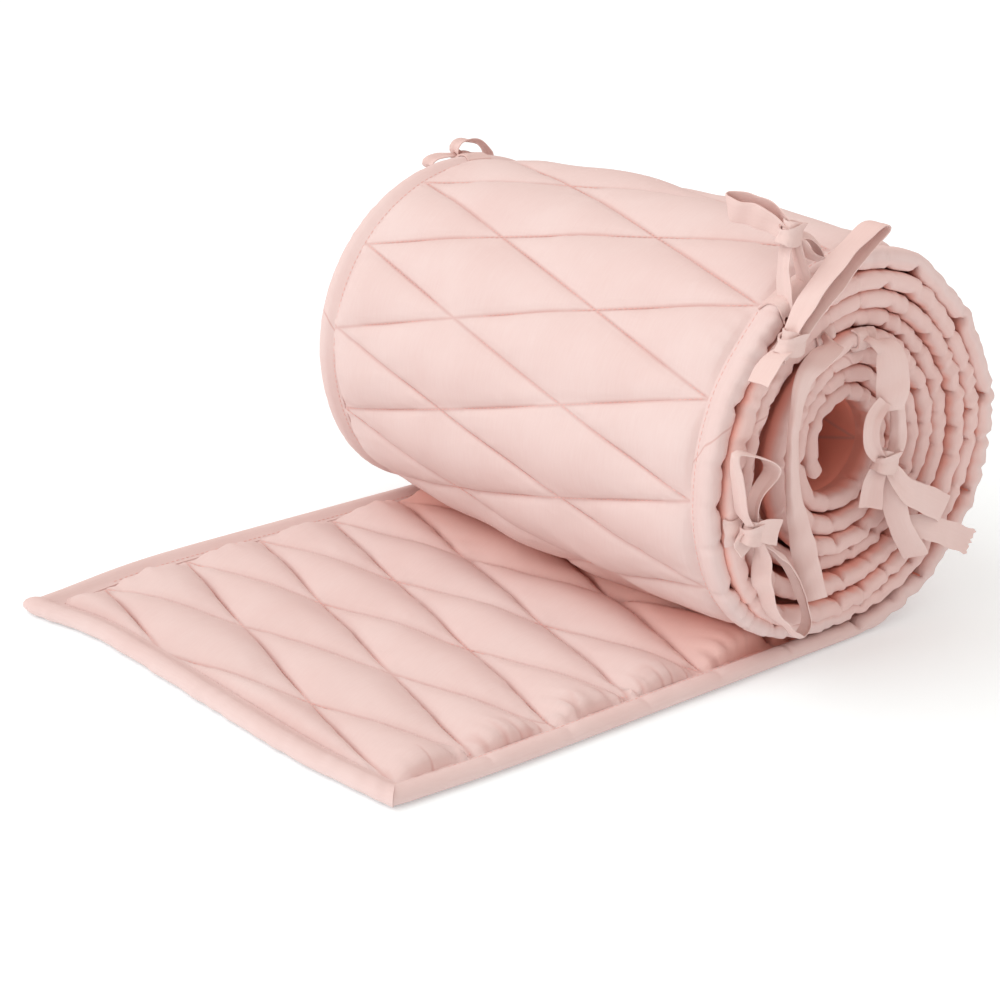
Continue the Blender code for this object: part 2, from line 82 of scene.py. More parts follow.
class Sewn(Enum):
    """How a tie's end is sewn on, as the stretch of the binding's section that it covers."""

    FOLDED = (-0.86, 0.10)
    FLAT = (-0.36, 0.36)


def soft_step(value: Array, start: float, width: float) -> Array:
    """A soft step from 0 at the start to 1 a width further on."""
    share = np.clip((value - start) / width, 0.0, 1.0)
    return share * share * (3.0 - 2.0 * share)


def through(values: Array, place: Array) -> Array:
    """A smooth curve through evenly spaced values, read at places counted in steps from the first."""
    values = np.concatenate([values[:1], values, values[-1:]])
    place = np.clip(place, 0.0, len(values) - 3 - 1e-9)
    first = place.astype(int)
    t = place - first
    a, b, c, d = (values[first + i] for i in range(4))
    slope_b, slope_c = (c - a) / 2, (d - b) / 2
    return (b * (1 + 2 * t) * (1 - t) ** 2 + slope_b * t * (1 - t) ** 2
            + c * t * t * (3 - 2 * t) + slope_c * t * t * (t - 1))


def unit(rows: Array) -> Array:
    """Each row at length 1."""
    return rows / np.linalg.norm(rows, axis=1)[:, None]


def spans(places: Array) -> Array:
    """Distance from each place of a line to the next."""
    return np.linalg.norm(np.diff(places, axis=0), axis=1)


# ---------------------------------------------------------------- finishes

class Graph:
    """A material's nodes, added and joined by short calls."""

    def __init__(self, name: str) -> None:
        """Start an empty material with its output and shader."""
        self.material = bpy.data.materials.new(name)
        self.material.use_nodes = True
        self.tree = self.material.node_tree
        self.shader = self.tree.nodes["Principled BSDF"]

    def give(self, socket: Socket, source: object) -> None:
        """Join an output to an input, or set the input's plain value; None leaves it."""
        if isinstance(source, Socket):
            self.tree.links.new(source, socket)
        elif source is not None:
            socket.default_value = source

    def add(self, kind: str, *sources: object, **settings: object) -> bpy.types.Node:
        """Add a node.

        Args:
            kind: the node's type, without its ShaderNode prefix.
            sources: for each input in order, an output socket, a value, or None to leave it.
            settings: the node's own properties.

        Returns:
            The new node.
        """
        node = self.tree.nodes.new("ShaderNode" + kind)
        for key, value in settings.items():
            setattr(node, key, value)
        for socket, source in zip(node.inputs, sources):
            self.give(socket, source)
        return node

    def math(self, operation: str, *sources: object) -> Socket:
        """One Math node's result."""
        return self.add("Math", *sources, operation=operation).outputs[0]

    def times(self, value: Socket, factor: object) -> Socket:
        """A value times a number or another value."""
        return self.math("MULTIPLY", value, factor)

    def ramp(self, value: Socket, start: float, end: float, low: float, high: float) -> Socket:
        """A value that goes from low to high as the given one goes from start to end."""
        return self.add("MapRange", value, start, end, low, high).outputs[0]

    def noise(self, place: Socket, scale: float, detail: float) -> Socket:
        """Soft noise, about 0.5 in its middle."""
        return self.add("TexNoise", place, None, scale, detail).outputs[0]

    def drawn(self, flat: Socket, sizes: Triple) -> Socket:
        """Cloth coordinates drawn out by a number of units for each metre."""
        return self.add("Mapping", flat, None, None, sizes).outputs[0]

    def blend(self, share: object, low: object, high: object) -> Socket:
        """A colour between two colours."""
        node = self.add("Mix", data_type="RGBA")
        for index, source in ((0, share), (6, low), (7, high)):
            self.give(node.inputs[index], source)
        return node.outputs[2]

    def surface(self, **values: object) -> None:
        """Set or join the shader's inputs, each named with _ for a space."""
        for name, value in values.items():
            self.give(self.shader.inputs[name.replace("_", " ")], value)

    def relief(self, height: Socket, strength: float, depth: float) -> None:
        """Give the shader a fine relief."""
        bump = self.add("Bump", strength, depth)
        self.give(bump.inputs["Height"], height)
        self.surface(Normal=bump.outputs[0])


@dataclass(frozen=True)
class Cotton:
    """Matt woven cotton, with its threads, its uneven colouring, painted warm shade between the turns and
    its soft relief.
    """

    name: str
    colour: Triple
    # painted warm shade: a warm, deeper colour that stands in for the bounce light and shade between the
    # turns
    painted_warm_shade: Triple = (0.96, 0.42, 0.32)     # the warm light between the turns
    # how far painted shade deepens the colour in the quilting's grooves and creases, and the dark line of
    # the bias joins
    deep: float = 0.66
    thread: float = 0.0005
    turned: float = 0.0
    relief: float = 0.35
    relief_depth: float = 0.0001
    mottle: float = 0.035
    blotches: float = 22.0
    slubs: Triple = (900.0, 90.0, 1.0)
    slub_share: float = 0.3
    roughness: float = 0.85
    gloss: float = 0.25
    sheen: float = 0.15

    def shade(self, factor: float) -> tuple[float, float, float, float]:
        """The colour, deeper below 1 and paler above, with the red kept fuller than the rest."""
        powers = (0.45, 1.0, 1.08)
        return (*(min(part * factor ** power, 1.0) for part, power in zip(self.colour, powers)), 1.0)

    def weave(self, graph: Graph) -> tuple[Socket, Socket]:
        """The threads' height and the flat cloth coordinates.

        Args:
            graph: the material's nodes.

        Returns:
            The weave's height from -1 to 1, and the cloth coordinates as a vector.
        """
        flat = graph.add("UVMap", uv_map="cloth").outputs[0]
        turned = graph.add("Mapping", flat, None, (0.0, 0.0, math.radians(self.turned))).outputs[0]
        split = graph.add("SeparateXYZ", turned)
        warp, weft = (graph.math("SINE", graph.times(split.outputs[axis], 2 * math.pi / self.thread))
                      for axis in (0, 1))
        return graph.times(warp, weft), flat

    def dye_and_painted_shade(self, graph: Graph, flat: Socket) -> Socket:
        """The cloth's colour: broad mottling and fine slubs along the threads, with painted warm shade
        between the turns.
        """
        broad = graph.noise(graph.add("TexCoord").outputs["Object"], self.blotches, 3.0)
        slub = graph.noise(graph.drawn(flat, self.slubs), 1.0, 2.0)
        broad = graph.times(broad, 1.0 - self.slub_share)
        mixed = graph.math("ADD", broad, graph.times(slub, self.slub_share))
        spread = graph.ramp(mixed, 0.35, 0.65, 0.0, 1.0)
        dyed = graph.blend(spread, self.shade(1.0 - self.mottle), self.shade(1.0 + self.mottle))
        # painted shade: blend in the warm shade colour by each point's painted shade share
        share = graph.add("Attribute", attribute_name="painted_shade").outputs["Fac"]
        return graph.blend(share, dyed, (*self.painted_warm_shade, 1.0))

    def finish(self, graph: Graph, colour: Socket, height: Socket) -> Material:
        """Join the colour and the relief to the shader, with the cloth's own gloss and sheen."""
        graph.surface(Base_Color=colour, Roughness=self.roughness, Specular_IOR_Level=self.gloss,
                      Sheen_Weight=self.sheen, Sheen_Roughness=0.5, Sheen_Tint=(*self.colour, 1.0))
        graph.relief(height, self.relief, self.relief_depth)
        return graph.material

    def material(self) -> Material:
        """The finished material."""
        graph = Graph(self.name)
        height, flat = self.weave(graph)
        return self.finish(graph, self.dye_and_painted_shade(graph, flat), height)


@dataclass(frozen=True)
class QuiltedCotton(Cotton):
    """The same cotton where it is quilted, with painted shade deepening the colour along each stitch line
    and in the fine creases beside the lying stretch's near seam.
    """

    pitch: float = 0.048
    first: float = 0.0368
    width: float = 0.2706
    across: float = 1.5
    groove: float = 0.0014
    seam_depth: float = 2.0
    painted_groove_shade: float = 0.6
    pucker_from: float = 0.120
    pucker_end: float = 0.30
    pucker_sizes: Triple = (10.0, 56.0, 1.0)
    pucker_width: float = 0.04
    pucker_depth: float = 11.0

    def seam(self, graph: Graph, flat: Socket) -> Socket:
        """A value of 1 on the stitch lines, falling to 0 beside them."""
        split = graph.add("SeparateXYZ", flat)
        along = graph.math("DIVIDE", graph.math("SUBTRACT", split.outputs[1], self.first), self.pitch)
        over = graph.math("MULTIPLY_ADD", split.outputs[0], self.across / self.width, self.across / 2)
        one, other = (graph.math("PINGPONG", graph.math(way, along, over), 0.5)
                      for way in ("SUBTRACT", "ADD"))
        reach = self.groove * math.hypot(self.across / self.width, 1.0 / self.pitch)
        return graph.ramp(graph.math("MINIMUM", one, other), 0.0, reach, 1.0, 0.0)

    def puckers(self, graph: Graph, flat: Socket) -> Socket:
        """Fine creases that run out from the lying stretch's near seam, 1 in a crease and 0 beside it."""
        uneven = graph.noise(graph.drawn(flat, self.pucker_sizes), 1.0, 1.0)
        off = graph.math("ABSOLUTE", graph.math("SUBTRACT", uneven, 0.5))
        crease = graph.ramp(off, 0.0, self.pucker_width, 1.0, 0.0)
        split = graph.add("SeparateXYZ", flat)
        edge = graph.ramp(split.outputs[0], self.pucker_from, self.width / 2, 0.0, 1.0)
        lying = graph.ramp(split.outputs[1], self.pucker_end - 0.02, self.pucker_end, 1.0, 0.0)
        return graph.times(crease, graph.times(edge, lying))

    def material(self) -> Material:
        """The finished material."""
        graph = Graph(self.name)
        height, flat = self.weave(graph)
        seam, pucker = self.seam(graph, flat), self.puckers(graph, flat)
        # painted shade in the grooves of the stitch lines and in the fine creases
        share = graph.times(graph.math("MAXIMUM", seam, pucker), self.painted_groove_shade)
        colour = graph.blend(share, self.dye_and_painted_shade(graph, flat), self.shade(self.deep))
        sunk = graph.math("SUBTRACT", height, graph.times(seam, self.seam_depth))
        sunk = graph.math("SUBTRACT", sunk, graph.times(pucker, self.pucker_depth))
        return self.finish(graph, colour, sunk)


@dataclass(frozen=True)
class BiasCotton(Cotton):
    """The same cotton cut on the bias, with the slanted seams that join its lengths."""

    turned: float = 45.0
    first_join: float = 0.6955
    lengths: float = 1.05
    join: float = 0.0010
    join_depth: float = 3.0
    join_share: float = 0.8

    def material(self) -> Material:
        """The finished material."""
        graph = Graph(self.name)
        height, flat = self.weave(graph)
        split = graph.add("SeparateXYZ", flat)
        slant = graph.math("ADD", split.outputs[0], split.outputs[1])
        away = graph.math("PINGPONG", graph.math("SUBTRACT", slant, self.first_join), self.lengths / 2)
        join = graph.ramp(away, 0.0, self.join, 1.0, 0.0)
        share = graph.times(join, self.join_share)
        colour = graph.blend(share, self.dye_and_painted_shade(graph, flat), self.shade(self.deep))
        sunk = graph.math("SUBTRACT", height, graph.times(join, self.join_depth))
        return self.finish(graph, colour, sunk)


@dataclass(frozen=True)
class Thread:
    """Sewing thread: a little glossier than the cloth, in the same pink."""

    name: str = "sewing_thread"
    colour: Triple = (0.80, 0.50, 0.46)
    paler: float = 1.12
    twist: float = 2500.0
    roughness: float = 0.55

    def material(self) -> Material:
        """The finished material, with the thread's twist as fine relief."""
        graph = Graph(self.name)
        twist = graph.noise(graph.add("TexCoord").outputs["Object"], self.twist, 1.0)
        pale = (*(min(part * self.paler, 1.0) for part in self.colour), 1.0)
        graph.surface(Base_Color=graph.blend(twist, (*self.colour, 1.0), pale), Roughness=self.roughness)
        graph.relief(twist, 0.3, 0.00005)
        return graph.material


@dataclass(frozen=True)
class Ripple:
    """Uneven waves in cloth: sine waves of mixed lengths and fixed phases, alike on each run."""

    shortest: float
    longest: float
    seed: int
    waves: int = 10

    def at(self, *places: Array) -> Array:
        """The waves' height, about -2 to 2.

        Args:
            places: one coordinate for waves in a row, or two for waves that run every way.

        Returns:
            The height at each place.
        """
        draw = np.random.default_rng(self.seed)
        total = np.zeros(np.broadcast(*places).shape) if len(places) > 1 else np.zeros(places[0].shape)
        for _ in range(self.waves):
            length = self.shortest * (self.longest / self.shortest) ** draw.random()
            angle = draw.random() * 2 * math.pi
            way = (1.0,) if len(places) == 1 else (math.cos(angle), math.sin(angle))
            run = sum(w * p for w, p in zip(way, places))
            total = total + np.cos(run * 2 * math.pi / length + draw.random() * 2 * math.pi)
        return total / math.sqrt(self.waves / 2)


# ---------------------------------------------------------------- the wound shape

# Middle of the strip in each turn, in mm from the core's axis, starting straight under it,
# and how far its edge slips along the roll, in mm towards the near end.
WINDING = (
    # under, back, top, front   slip under, back, top, front
    (95.0, 95.5, 95.6, 103.2, 0.0, 0.0, 0.0, 0.0),
    (84.9, 85.6, 85.8, 92.2, 0.0, -1.0, 1.0, 4.0),
    (76.3, 75.8, 75.4, 81.0, 1.0, -2.0, -2.0, 0.0),
    (66.9, 65.9, 65.5, 68.0, -3.0, -5.0, -7.0, -12.0),
    (57.5, 56.0, 55.6, 56.5, -9.0, -7.0, -4.0, -3.0),
    (48.1, 46.1, 45.7, 45.0, -5.0, -8.0, -8.0, -7.0),
    (38.8, 36.6, 36.0, 34.0, -9.0, -11.0, -11.0, -11.0),
    (29.4, 27.2, 26.0, 21.4, -12.0, -13.0, -14.0, -14.0),
    (20.2, 20.2, 20.2, 20.2, -14.0, -14.0, -14.0, -14.0),
)

# How far the outer turn's cloth stands off, in mm, at each tenth of the turn: far edge, middle, near edge.
EASE = (
    (0.0, 0.0, 0.0),
    (0.0, 0.0, 1.6),
    (0.0, 1.0, 2.4),
    (1.0, 5.0, 0.9),
    (2.6, 8.5, 0.2),
    (2.4, 7.0, 0.2),
    (2.4, 3.0, 0.0),
    (0.4, 1.0, -1.0),
    (-2.4, 0.6, -3.0),
    (-4.0, 0.6, -4.4),
    (-1.5, 0.8, -2.2),
    (0.0, 0.0, 0.0),
)
EASE_PLACES = 10                # in each turn
TURN_PLACES = 4                 # of WINDING in each turn


@dataclass
class Winding:
    """How the flat strip lies on the floor, climbs the back of the roll and winds inwards.

    A soft step's start and width are in turns of the roll, unless its name says across. The shoulder
    and the bulge are an angle and a width in degrees, and a depth or a height. The facet is in mm.
    """

    height: float = 0.300
    band: float = 0.0147
    pitch: float = 0.048
    first_diamond: float = 0.0368
    quarters: int = 269
    floor_middle: float = 0.0042
    axis_y: float = 0.293
    core_height: float = 0.095
    lean_z: float = 0.17
    lean_y: float = 0.013
    shoulder: Triple = (132.0, 38.0, 0.0095)
    bulge: Triple = (315.0, 31.0, 0.0085)
    bulge_starts: float = 0.4
    bulge_turns: float = 3.0
    stretch: float = 0.013
    stretch_ends: Range = (0.26, 0.60)
    turns: float = 8.2
    samples: int = 2800
    last_layer: float = 7.8
    open_room: float = 0.012
    lift_off: float = 0.06
    tail_step: float = 0.002
    tail_lead: float = 0.02
    tail_turn: float = 0.6
    kept_ease: float = 0.75
    kept_from: Ramp = (1.0, 0.1)
    facet: float = 1.8
    facet_across: Ramp = (0.05, 0.09)
    facet_starts: Ramp = (0.04, 0.08)
    facet_stops: Ramp = (0.72, -0.1)
    corner_reach: float = 0.045
    corner_pulls: dict[End, Range] = field(     # in x and y
        default_factory=lambda: {End.FAR: (0.013, -0.012), End.NEAR: (-0.003, 0.007)})

    def __post_init__(self) -> None:
        """Trace the strip's middle line once."""
        self.length = self.first_diamond + self.quarters * self.pitch / 4 + self.band
        self.axis_z = self.floor_middle + self.core_height
        turns = np.linspace(0.0, self.turns, self.samples)
        radii = self.radius(turns)
        angles = turns * 2 * math.pi
        tail = np.arange(-self.tail_lead, self.axis_y - self.tail_step, self.tail_step)
        level = np.full(len(tail), self.floor_middle)
        self.line_y = np.concatenate([tail, self.axis_y + radii * np.sin(angles)])
        self.line_z = np.concatenate([level, self.axis_z - radii * np.cos(angles)])
        self.line_turn = np.concatenate([(tail - self.axis_y) / self.tail_turn, turns])
        steps = np.hypot(np.diff(self.line_y), np.diff(self.line_z))
        self.line_s = np.concatenate([[0.0], np.cumsum(steps)]) + tail[0]
        self.slope_y = np.gradient(self.line_y, self.line_s)
        self.slope_z = np.gradient(self.line_z, self.line_s)

    @staticmethod
    def table(column: int, turns: Array) -> Array:
        """One group of four WINDING columns as a smooth function of the turn."""
        values = np.array([row[column:column + TURN_PLACES] for row in WINDING]).ravel()
        return through(values, turns * TURN_PLACES)

    def ease(self, x: Array, s: Array, turn: Array) -> Array:
        """How far the cloth stands off the strip's middle line, outwards: its slack and its facets."""
        on_roll = np.maximum(turn, 0.0) * EASE_PLACES
        far, middle, near = (through(np.array(column), on_roll) for column in zip(*EASE))
        inside = np.maximum(np.floor(turn), 0.0)
        edge = np.array([row[2] for row in EASE[:EASE_PLACES + 1]])
        again = np.maximum(through(edge, (turn - inside) * EASE_PLACES), 0.0)
        again = again * self.kept_ease ** inside * soft_step(turn, *self.kept_from)
        near = near + np.where(inside > 0, again, 0.0)
        t = x / (self.height / 2)
        slack = far * t * (t - 1) / 2 + middle * (1 - t * t) + near * t * (t + 1) / 2
        place = ((s - self.first_diamond) / self.pitch - 0.5) % 1.0
        shown = soft_step(x, *self.facet_across)
        shown = shown * soft_step(turn, *self.facet_starts) * soft_step(turn, *self.facet_stops)
        return (slack + self.facet * (2 * place - 1) ** 2 * shown) * MM

    def radius(self, turns: Array) -> Array:
        """Distance of the strip's middle from the core's axis, with pressed shoulder and swollen front."""
        angle = (turns * 360.0) % 360.0
        centre, width, depth = self.shoulder
        flat = depth * (1.0 - turns / (self.turns + 1.0)) * np.exp(-((angle - centre) / width) ** 2)
        centre, width, height = self.bulge
        away = (angle - centre + 180.0) % 360.0 - 180.0
        fade = np.clip(1.0 - (turns - centre / 360.0) / self.bulge_turns, 0.0, 1.0)
        fade = np.where(turns > self.bulge_starts, fade, 0.0)
        return self.table(0, turns) * MM + height * fade * np.exp(-(away / width) ** 2) - flat

    def path(self, s: Array) -> Array:
        """Place on the middle line of a place on the flat strip."""
        start, end = self.stretch_ends
        return s + self.stretch * np.clip((s - start) / (end - start), 0.0, 1.0)

    def turn(self, s: Array) -> Array:
        """Turn of the roll at a place on the flat strip, below 0 on the tail."""
        return np.interp(self.path(s), self.line_s, self.line_turn)

    def at_turn(self, turn: float) -> float:
        """Place on the flat strip of a turn of the roll, past the stretched quilting."""
        return float(np.interp(turn, self.line_turn, self.line_s)) - self.stretch

    def floor_share(self, s: Array) -> Array:
        """1 where the strip lies on the floor, falling to 0 as it starts up the back of the roll."""
        return np.clip(1.0 - self.turn(s) / self.lift_off, 0.0, 1.0)

    def room(self, s: Array) -> tuple[Array, Array]:
        """Half of the space to the next turn inwards and outwards."""
        turn = np.maximum(self.turn(s), 0.0)
        here = self.radius(turn)
        inner = here - self.radius(np.minimum(turn + 1.0, self.turns))
        outer = self.radius(np.maximum(turn - 1.0, 0.0)) - here
        inner = np.where(turn + 1.0 < self.last_layer, inner, self.open_room)
        return inner / 2, np.where(turn > 1.0, outer, self.open_room) / 2

    def place(self, x: Array, s: Array, h: Array) -> Array:
        """Carry points of the flat strip to where the roll holds them.

        Args:
            x: place across the strip, from its middle.
            s: place along it, from the tail's free end.
            h: height from its middle, positive towards the inside of the roll.

        Returns:
            One row (x, y, z) for each point, in the part's frame.
        """
        path = self.path(s)
        y, z, ty, tz = (np.interp(path, self.line_s, v)
                        for v in (self.line_y, self.line_z, self.slope_y, self.slope_z))
        size = np.hypot(ty, tz)
        turn = self.turn(s)
        h = h - self.ease(x, s, turn)
        y = y - h * tz / size
        z = z + h * ty / size
        lift = np.clip(turn * TURN_PLACES, 0.0, 1.0)
        y = y + self.lean_y * x * np.clip(z / self.axis_z, 0.0, 1.0) * lift
        z = z * (1.0 + self.lean_z * x * lift)
        across = x + self.table(TURN_PLACES, np.maximum(turn, 0.0)) * MM
        for end, pull in self.corner_pulls.items():
            away = np.hypot(x - end.value * self.height / 2, s) / self.corner_reach
            share = np.where(turn < 0.0, np.exp(-away * away), 0.0)
            across = across + pull[0] * share
            y = y + pull[1] * share
        return np.stack([across, y, z], axis=1) - ORIGIN


# ---------------------------------------------------------------- cloth meshes

def mesh_from(bm: bmesh.types.BMesh, name: str) -> bpy.types.Mesh:
    """A mesh with what was made in the edit mesh, which is freed."""
    mesh = bpy.data.meshes.new(name)
    bm.to_mesh(mesh)
    bm.free()
    return mesh


def put(name: str, data: bpy.types.ID) -> bpy.types.Object:
    """A new object in the scene."""
    thing = bpy.data.objects.new(name, data)
    bpy.context.scene.collection.objects.link(thing)
    return thing


def settle(mesh: bpy.types.Mesh, name: str) -> bpy.types.Object:
    """Turn the faces outwards, split the quads along their short diagonals, shade and show the mesh."""
    bm = bmesh.new()
    bm.from_mesh(mesh)
    bmesh.ops.triangulate(bm, faces=bm.faces[:], quad_method="SHORT_EDGE")
    bmesh.ops.recalc_face_normals(bm, faces=bm.faces[:])
    bm.to_mesh(mesh)
    bm.free()
    mesh.shade_smooth()
    mesh.set_sharp_from_angle(angle=SHARP)
    return put(name, mesh)


def joined(name: str, parts: Sequence[bpy.types.Object]) -> bpy.types.Object:
    """Several pieces as one object."""
    with bpy.context.temp_override(active_object=parts[0], selected_editable_objects=list(parts)):
        bpy.ops.object.join()
    parts[0].name = name
    parts[0].data.name = name
    return parts[0]


@dataclass
class ClothSlab:
    """A closed piece of cloth: a flat grid with a second face, carried to its place.

    Each column's points can slide along the piece by a share of each row's slide, so that its edges
    follow slanted lines. The widths and runs are the columns' and rows' places on the cloth as cut,
    where they differ.
    """

    name: str
    across: Array
    along: Array
    shape: Shape
    column_share: Array | None = None
    row_slide: Array | None = None
    widths: Array | None = None
    runs: Array | None = None
    # the share of painted warm shade at each point, kept as a point attribute
    painted_shade: Shape | None = None

    def build(self, material: Material) -> bpy.types.Object:
        """Make the piece's mesh and object.

        Args:
            material: the cloth's finish.

        Returns:
            The new object, at the origin, with its place in its mesh.
        """
        bm = bmesh.new()
        columns, rows = len(self.across) - 1, len(self.along) - 1
        bmesh.ops.create_grid(bm, x_segments=columns, y_segments=rows, size=1.0)
        made = bmesh.ops.extrude_face_region(bm, geom=bm.faces[:])
        second = [part for part in made["geom"] if isinstance(part, bmesh.types.BMVert)]
        bmesh.ops.translate(bm, verts=second, vec=(0.0, 0.0, 1.0))
        mesh = mesh_from(bm, self.name)
        flat = np.zeros(len(mesh.vertices) * 3)
        mesh.vertices.foreach_get("co", flat)
        flat = flat.reshape(-1, 3)
        column = np.rint((flat[:, 0] + 1.0) / 2.0 * columns).astype(int)
        row = np.rint((flat[:, 1] + 1.0) / 2.0 * rows).astype(int)
        across, along, side = self.across[column], self.along[row], np.rint(flat[:, 2])
        if self.column_share is not None:
            along = along + self.column_share[column] * self.row_slide[row]
        mesh.vertices.foreach_set("co", self.shape(across, along, side).ravel())
        # store the painted warm shade share for the cotton's colour to read
        if self.painted_shade is not None:
            held = mesh.attributes.new("painted_shade", "FLOAT", "POINT")
            held.data.foreach_set("value", self.painted_shade(across, along, side).astype(np.float32))
        cloth = mesh.uv_layers.new(name="cloth", do_init=False)
        corner = np.zeros(len(mesh.loops), dtype=np.int32)
        mesh.loops.foreach_get("vertex_index", corner)
        wide = across if self.widths is None else self.widths[column]
        long = along if self.runs is None else self.runs[row]
        cloth.uv.foreach_set("vector", np.stack([wide, long], axis=1)[corner].astype(np.float32).ravel())
        mesh.materials.append(material)
        return settle(mesh, self.name)


# ---------------------------------------------------------------- the quilted panel

@dataclass
class Crease:
    """A soft fold in the panel's outer or upper face, placed one by one."""

    x: float
    s: float
    angle: float
    length: float
    width: float
    height: float

    def at(self, x: Array, s: Array) -> Array:
        """The fold's height at each place."""
        turn = math.radians(self.angle)
        run = (x - self.x) * math.cos(turn) + (s - self.s) * math.sin(turn)
        off = (s - self.s) * math.cos(turn) - (x - self.x) * math.sin(turn)
        return self.height * np.exp(-(run / self.length) ** 2 - (off / self.width) ** 2)


@dataclass
class QuiltedPanel:
    """The long padded strip: two cotton faces stitched through in diamonds over wadding.

    The number across is how many diamonds wide it is. A soft step's start and width are in turns of
    the roll, unless its name says across. The swell is a place along it, a width and a height.
    """

    winding: Winding
    across: float = 1.5
    puff: float = 0.0042
    free_puff: float = 0.0068
    free_until: Ramp = (0.90, -0.05)
    lying_puff: float = 0.0120
    lying_seam: float = 0.0034
    lying_edge: float = 0.0036
    under_seam: float = 0.0016
    swell: Triple = (0.252, 0.028, 0.0034)
    near_swell: float = 0.0042
    near_swell_across: Ramp = (-0.02, 0.10)
    seam_swell: float = 0.12
    pressed: float = 0.0037
    seam: float = 0.0018
    raw_edge: float = 0.0014
    raw_inset: float = 0.0034
    crown: float = 0.52
    edge_reach: float = 0.011
    far_fall: float = 0.55
    seen_up: Ramp = (0.06, -0.1)
    seen_down: tuple[Ramp, Ramp] = ((0.05, 0.1), (1.02, -0.1))
    # where painted warm shade goes: between the turns, in the nip and in the core, and its strength between
    # the turns
    between: Ramp = (0.84, 0.14)
    nip: Ramp = (-0.19, 0.19)
    core: Ramp = (6.5, 1.0)
    painted_warm_shade: float = 0.85
    fine: int = 20
    fine_end: float = 0.96
    coarse_step: float = 0.010
    columns: int = 60
    beside: Range = (0.0014, 0.0029)            # more columns, from each binding
    seam_pucker: float = 0.00032
    seam_fall: float = 0.005
    edge_pucker: float = 0.0019
    edge_shares: Triple = (1.0, 0.45, 0.18)     # the tail's near and far edge, and the roll
    edge_fall: float = 0.0050
    tail_end: float = 0.30
    dimples: float = 0.00035
    creases: tuple[Crease, ...] = (
        Crease(0.03, 0.815, 16.0, 0.050, 0.0050, 0.0022),
        Crease(-0.05, 0.840, 6.0, 0.055, 0.0050, 0.0020),
        Crease(0.10, 0.830, -22.0, 0.032, 0.0045, 0.0022),
        Crease(0.06, 0.790, 24.0, 0.026, 0.0050, 0.0012),
    )

    @property
    def width(self) -> float:
        """Width between the two bindings."""
        return self.winding.height - 2 * self.winding.band

    def lattice(self, x: Array, s: Array) -> tuple[Array, Array]:
        """Place between the stitch lines of either slant, whole numbers on the lines."""
        along = (s - self.winding.first_diamond) / self.winding.pitch
        over = self.across * (x / self.width + 0.5)
        return along - over, along + over

    def rise(self, x: Array, s: Array) -> Array:
        """Height of the quilting, 0 on a stitch line to 1 in the middle of a diamond."""
        p, q = self.lattice(x, s)
        product = np.abs(np.sin(math.pi * p) * np.sin(math.pi * q))
        ends = np.minimum(s - self.winding.band, self.winding.length - self.winding.band - s)
        sides = np.minimum(self.width / 2 - x, (self.width / 2 + x) * self.far_fall)
        away = np.clip(np.minimum(sides, ends) / self.edge_reach, 0.0, 1.0)
        return np.where(product < TINY * 10, 0.0, product ** self.crown) * np.sqrt(away * (2.0 - away))

    def puckers(self, x: Array, s: Array, side: Array) -> Array:
        """Small gathers beside the seams, strongest along the tail's near edge."""
        p, q = self.lattice(x, s)
        scale = math.hypot(self.across / self.width, 1.0 / self.winding.pitch)
        total = np.zeros(x.shape)
        for off, run, seed in ((p, q, 3), (q, p, 4)):
            away = np.abs(off - np.rint(off)) / scale
            wave = Ripple(0.009, 0.026, seed).at(run / scale * 2.0)
            total += self.seam_pucker * wave * np.exp(-away / self.seam_fall) * soft_step(away, 0.0, 0.0018)
        near, far, rolled = self.edge_shares
        strong = np.clip(0.55 + 0.45 * Ripple(0.05, 0.16, 11).at(s), 0.15, 1.4)
        for end, lying in ((End.NEAR, near), (End.FAR, far)):
            away = np.maximum(self.width / 2 - end.value * x, 0.0)
            share = (0.4 + away / 0.004) * np.exp(-away / self.edge_fall)
            wave = Ripple(0.0065, 0.015, 7 + end.value).at(s + 0.2 * away)
            size = np.where(s < self.tail_end, lying, rolled)
            total += self.edge_pucker * size * strong * wave * share
        return total + self.dimples * Ripple(0.035, 0.11, 21).at(x, s + side * 0.5)

    def bare(self, x: Array, s: Array) -> Array:
        """Whether a place is inside a binding, on the panel's own edge."""
        first, last = self.winding.band - TINY, self.winding.length - self.winding.band + TINY
        return (np.abs(x) > self.width / 2 + TINY) | (s < first) | (s > last)

    def heights(self, x: Array, s: Array) -> tuple[Array, Array]:
        """Heights of the inner and the outer face from the strip's middle."""
        roll = self.winding
        turn, floor, raw = roll.turn(s), roll.floor_share(s), self.bare(x, s)
        rise = np.where(raw, 0.0, self.rise(x, s))
        base = np.where(raw, self.raw_edge, self.seam)
        low = np.where(raw, self.lying_edge, self.lying_seam)
        place, width, height = self.swell
        height = height + self.near_swell * soft_step(x, *self.near_swell_across)
        swell = height * np.exp(-((s - place) / width) ** 2) * np.minimum(rise * 2.0 + self.seam_swell, 1.0)
        lying_up = low + (self.lying_puff - low) * rise + np.where(raw, 0.0, swell) - roll.floor_middle
        lying_down = self.under_seam * (1.0 - np.clip(rise * 2.0, 0.0, 1.0)) - roll.floor_middle
        free = self.puff + (self.free_puff - self.puff) * soft_step(turn, *self.free_until)
        inner = np.where(turn < 1.0, self.puff, self.pressed)
        outer = np.where(turn < 1.0, free, self.pressed)
        up = floor * lying_up + (1.0 - floor) * (base + (inner - base) * rise)
        down = floor * lying_down - (1.0 - floor) * (base + (outer - base) * rise)
        return up, down

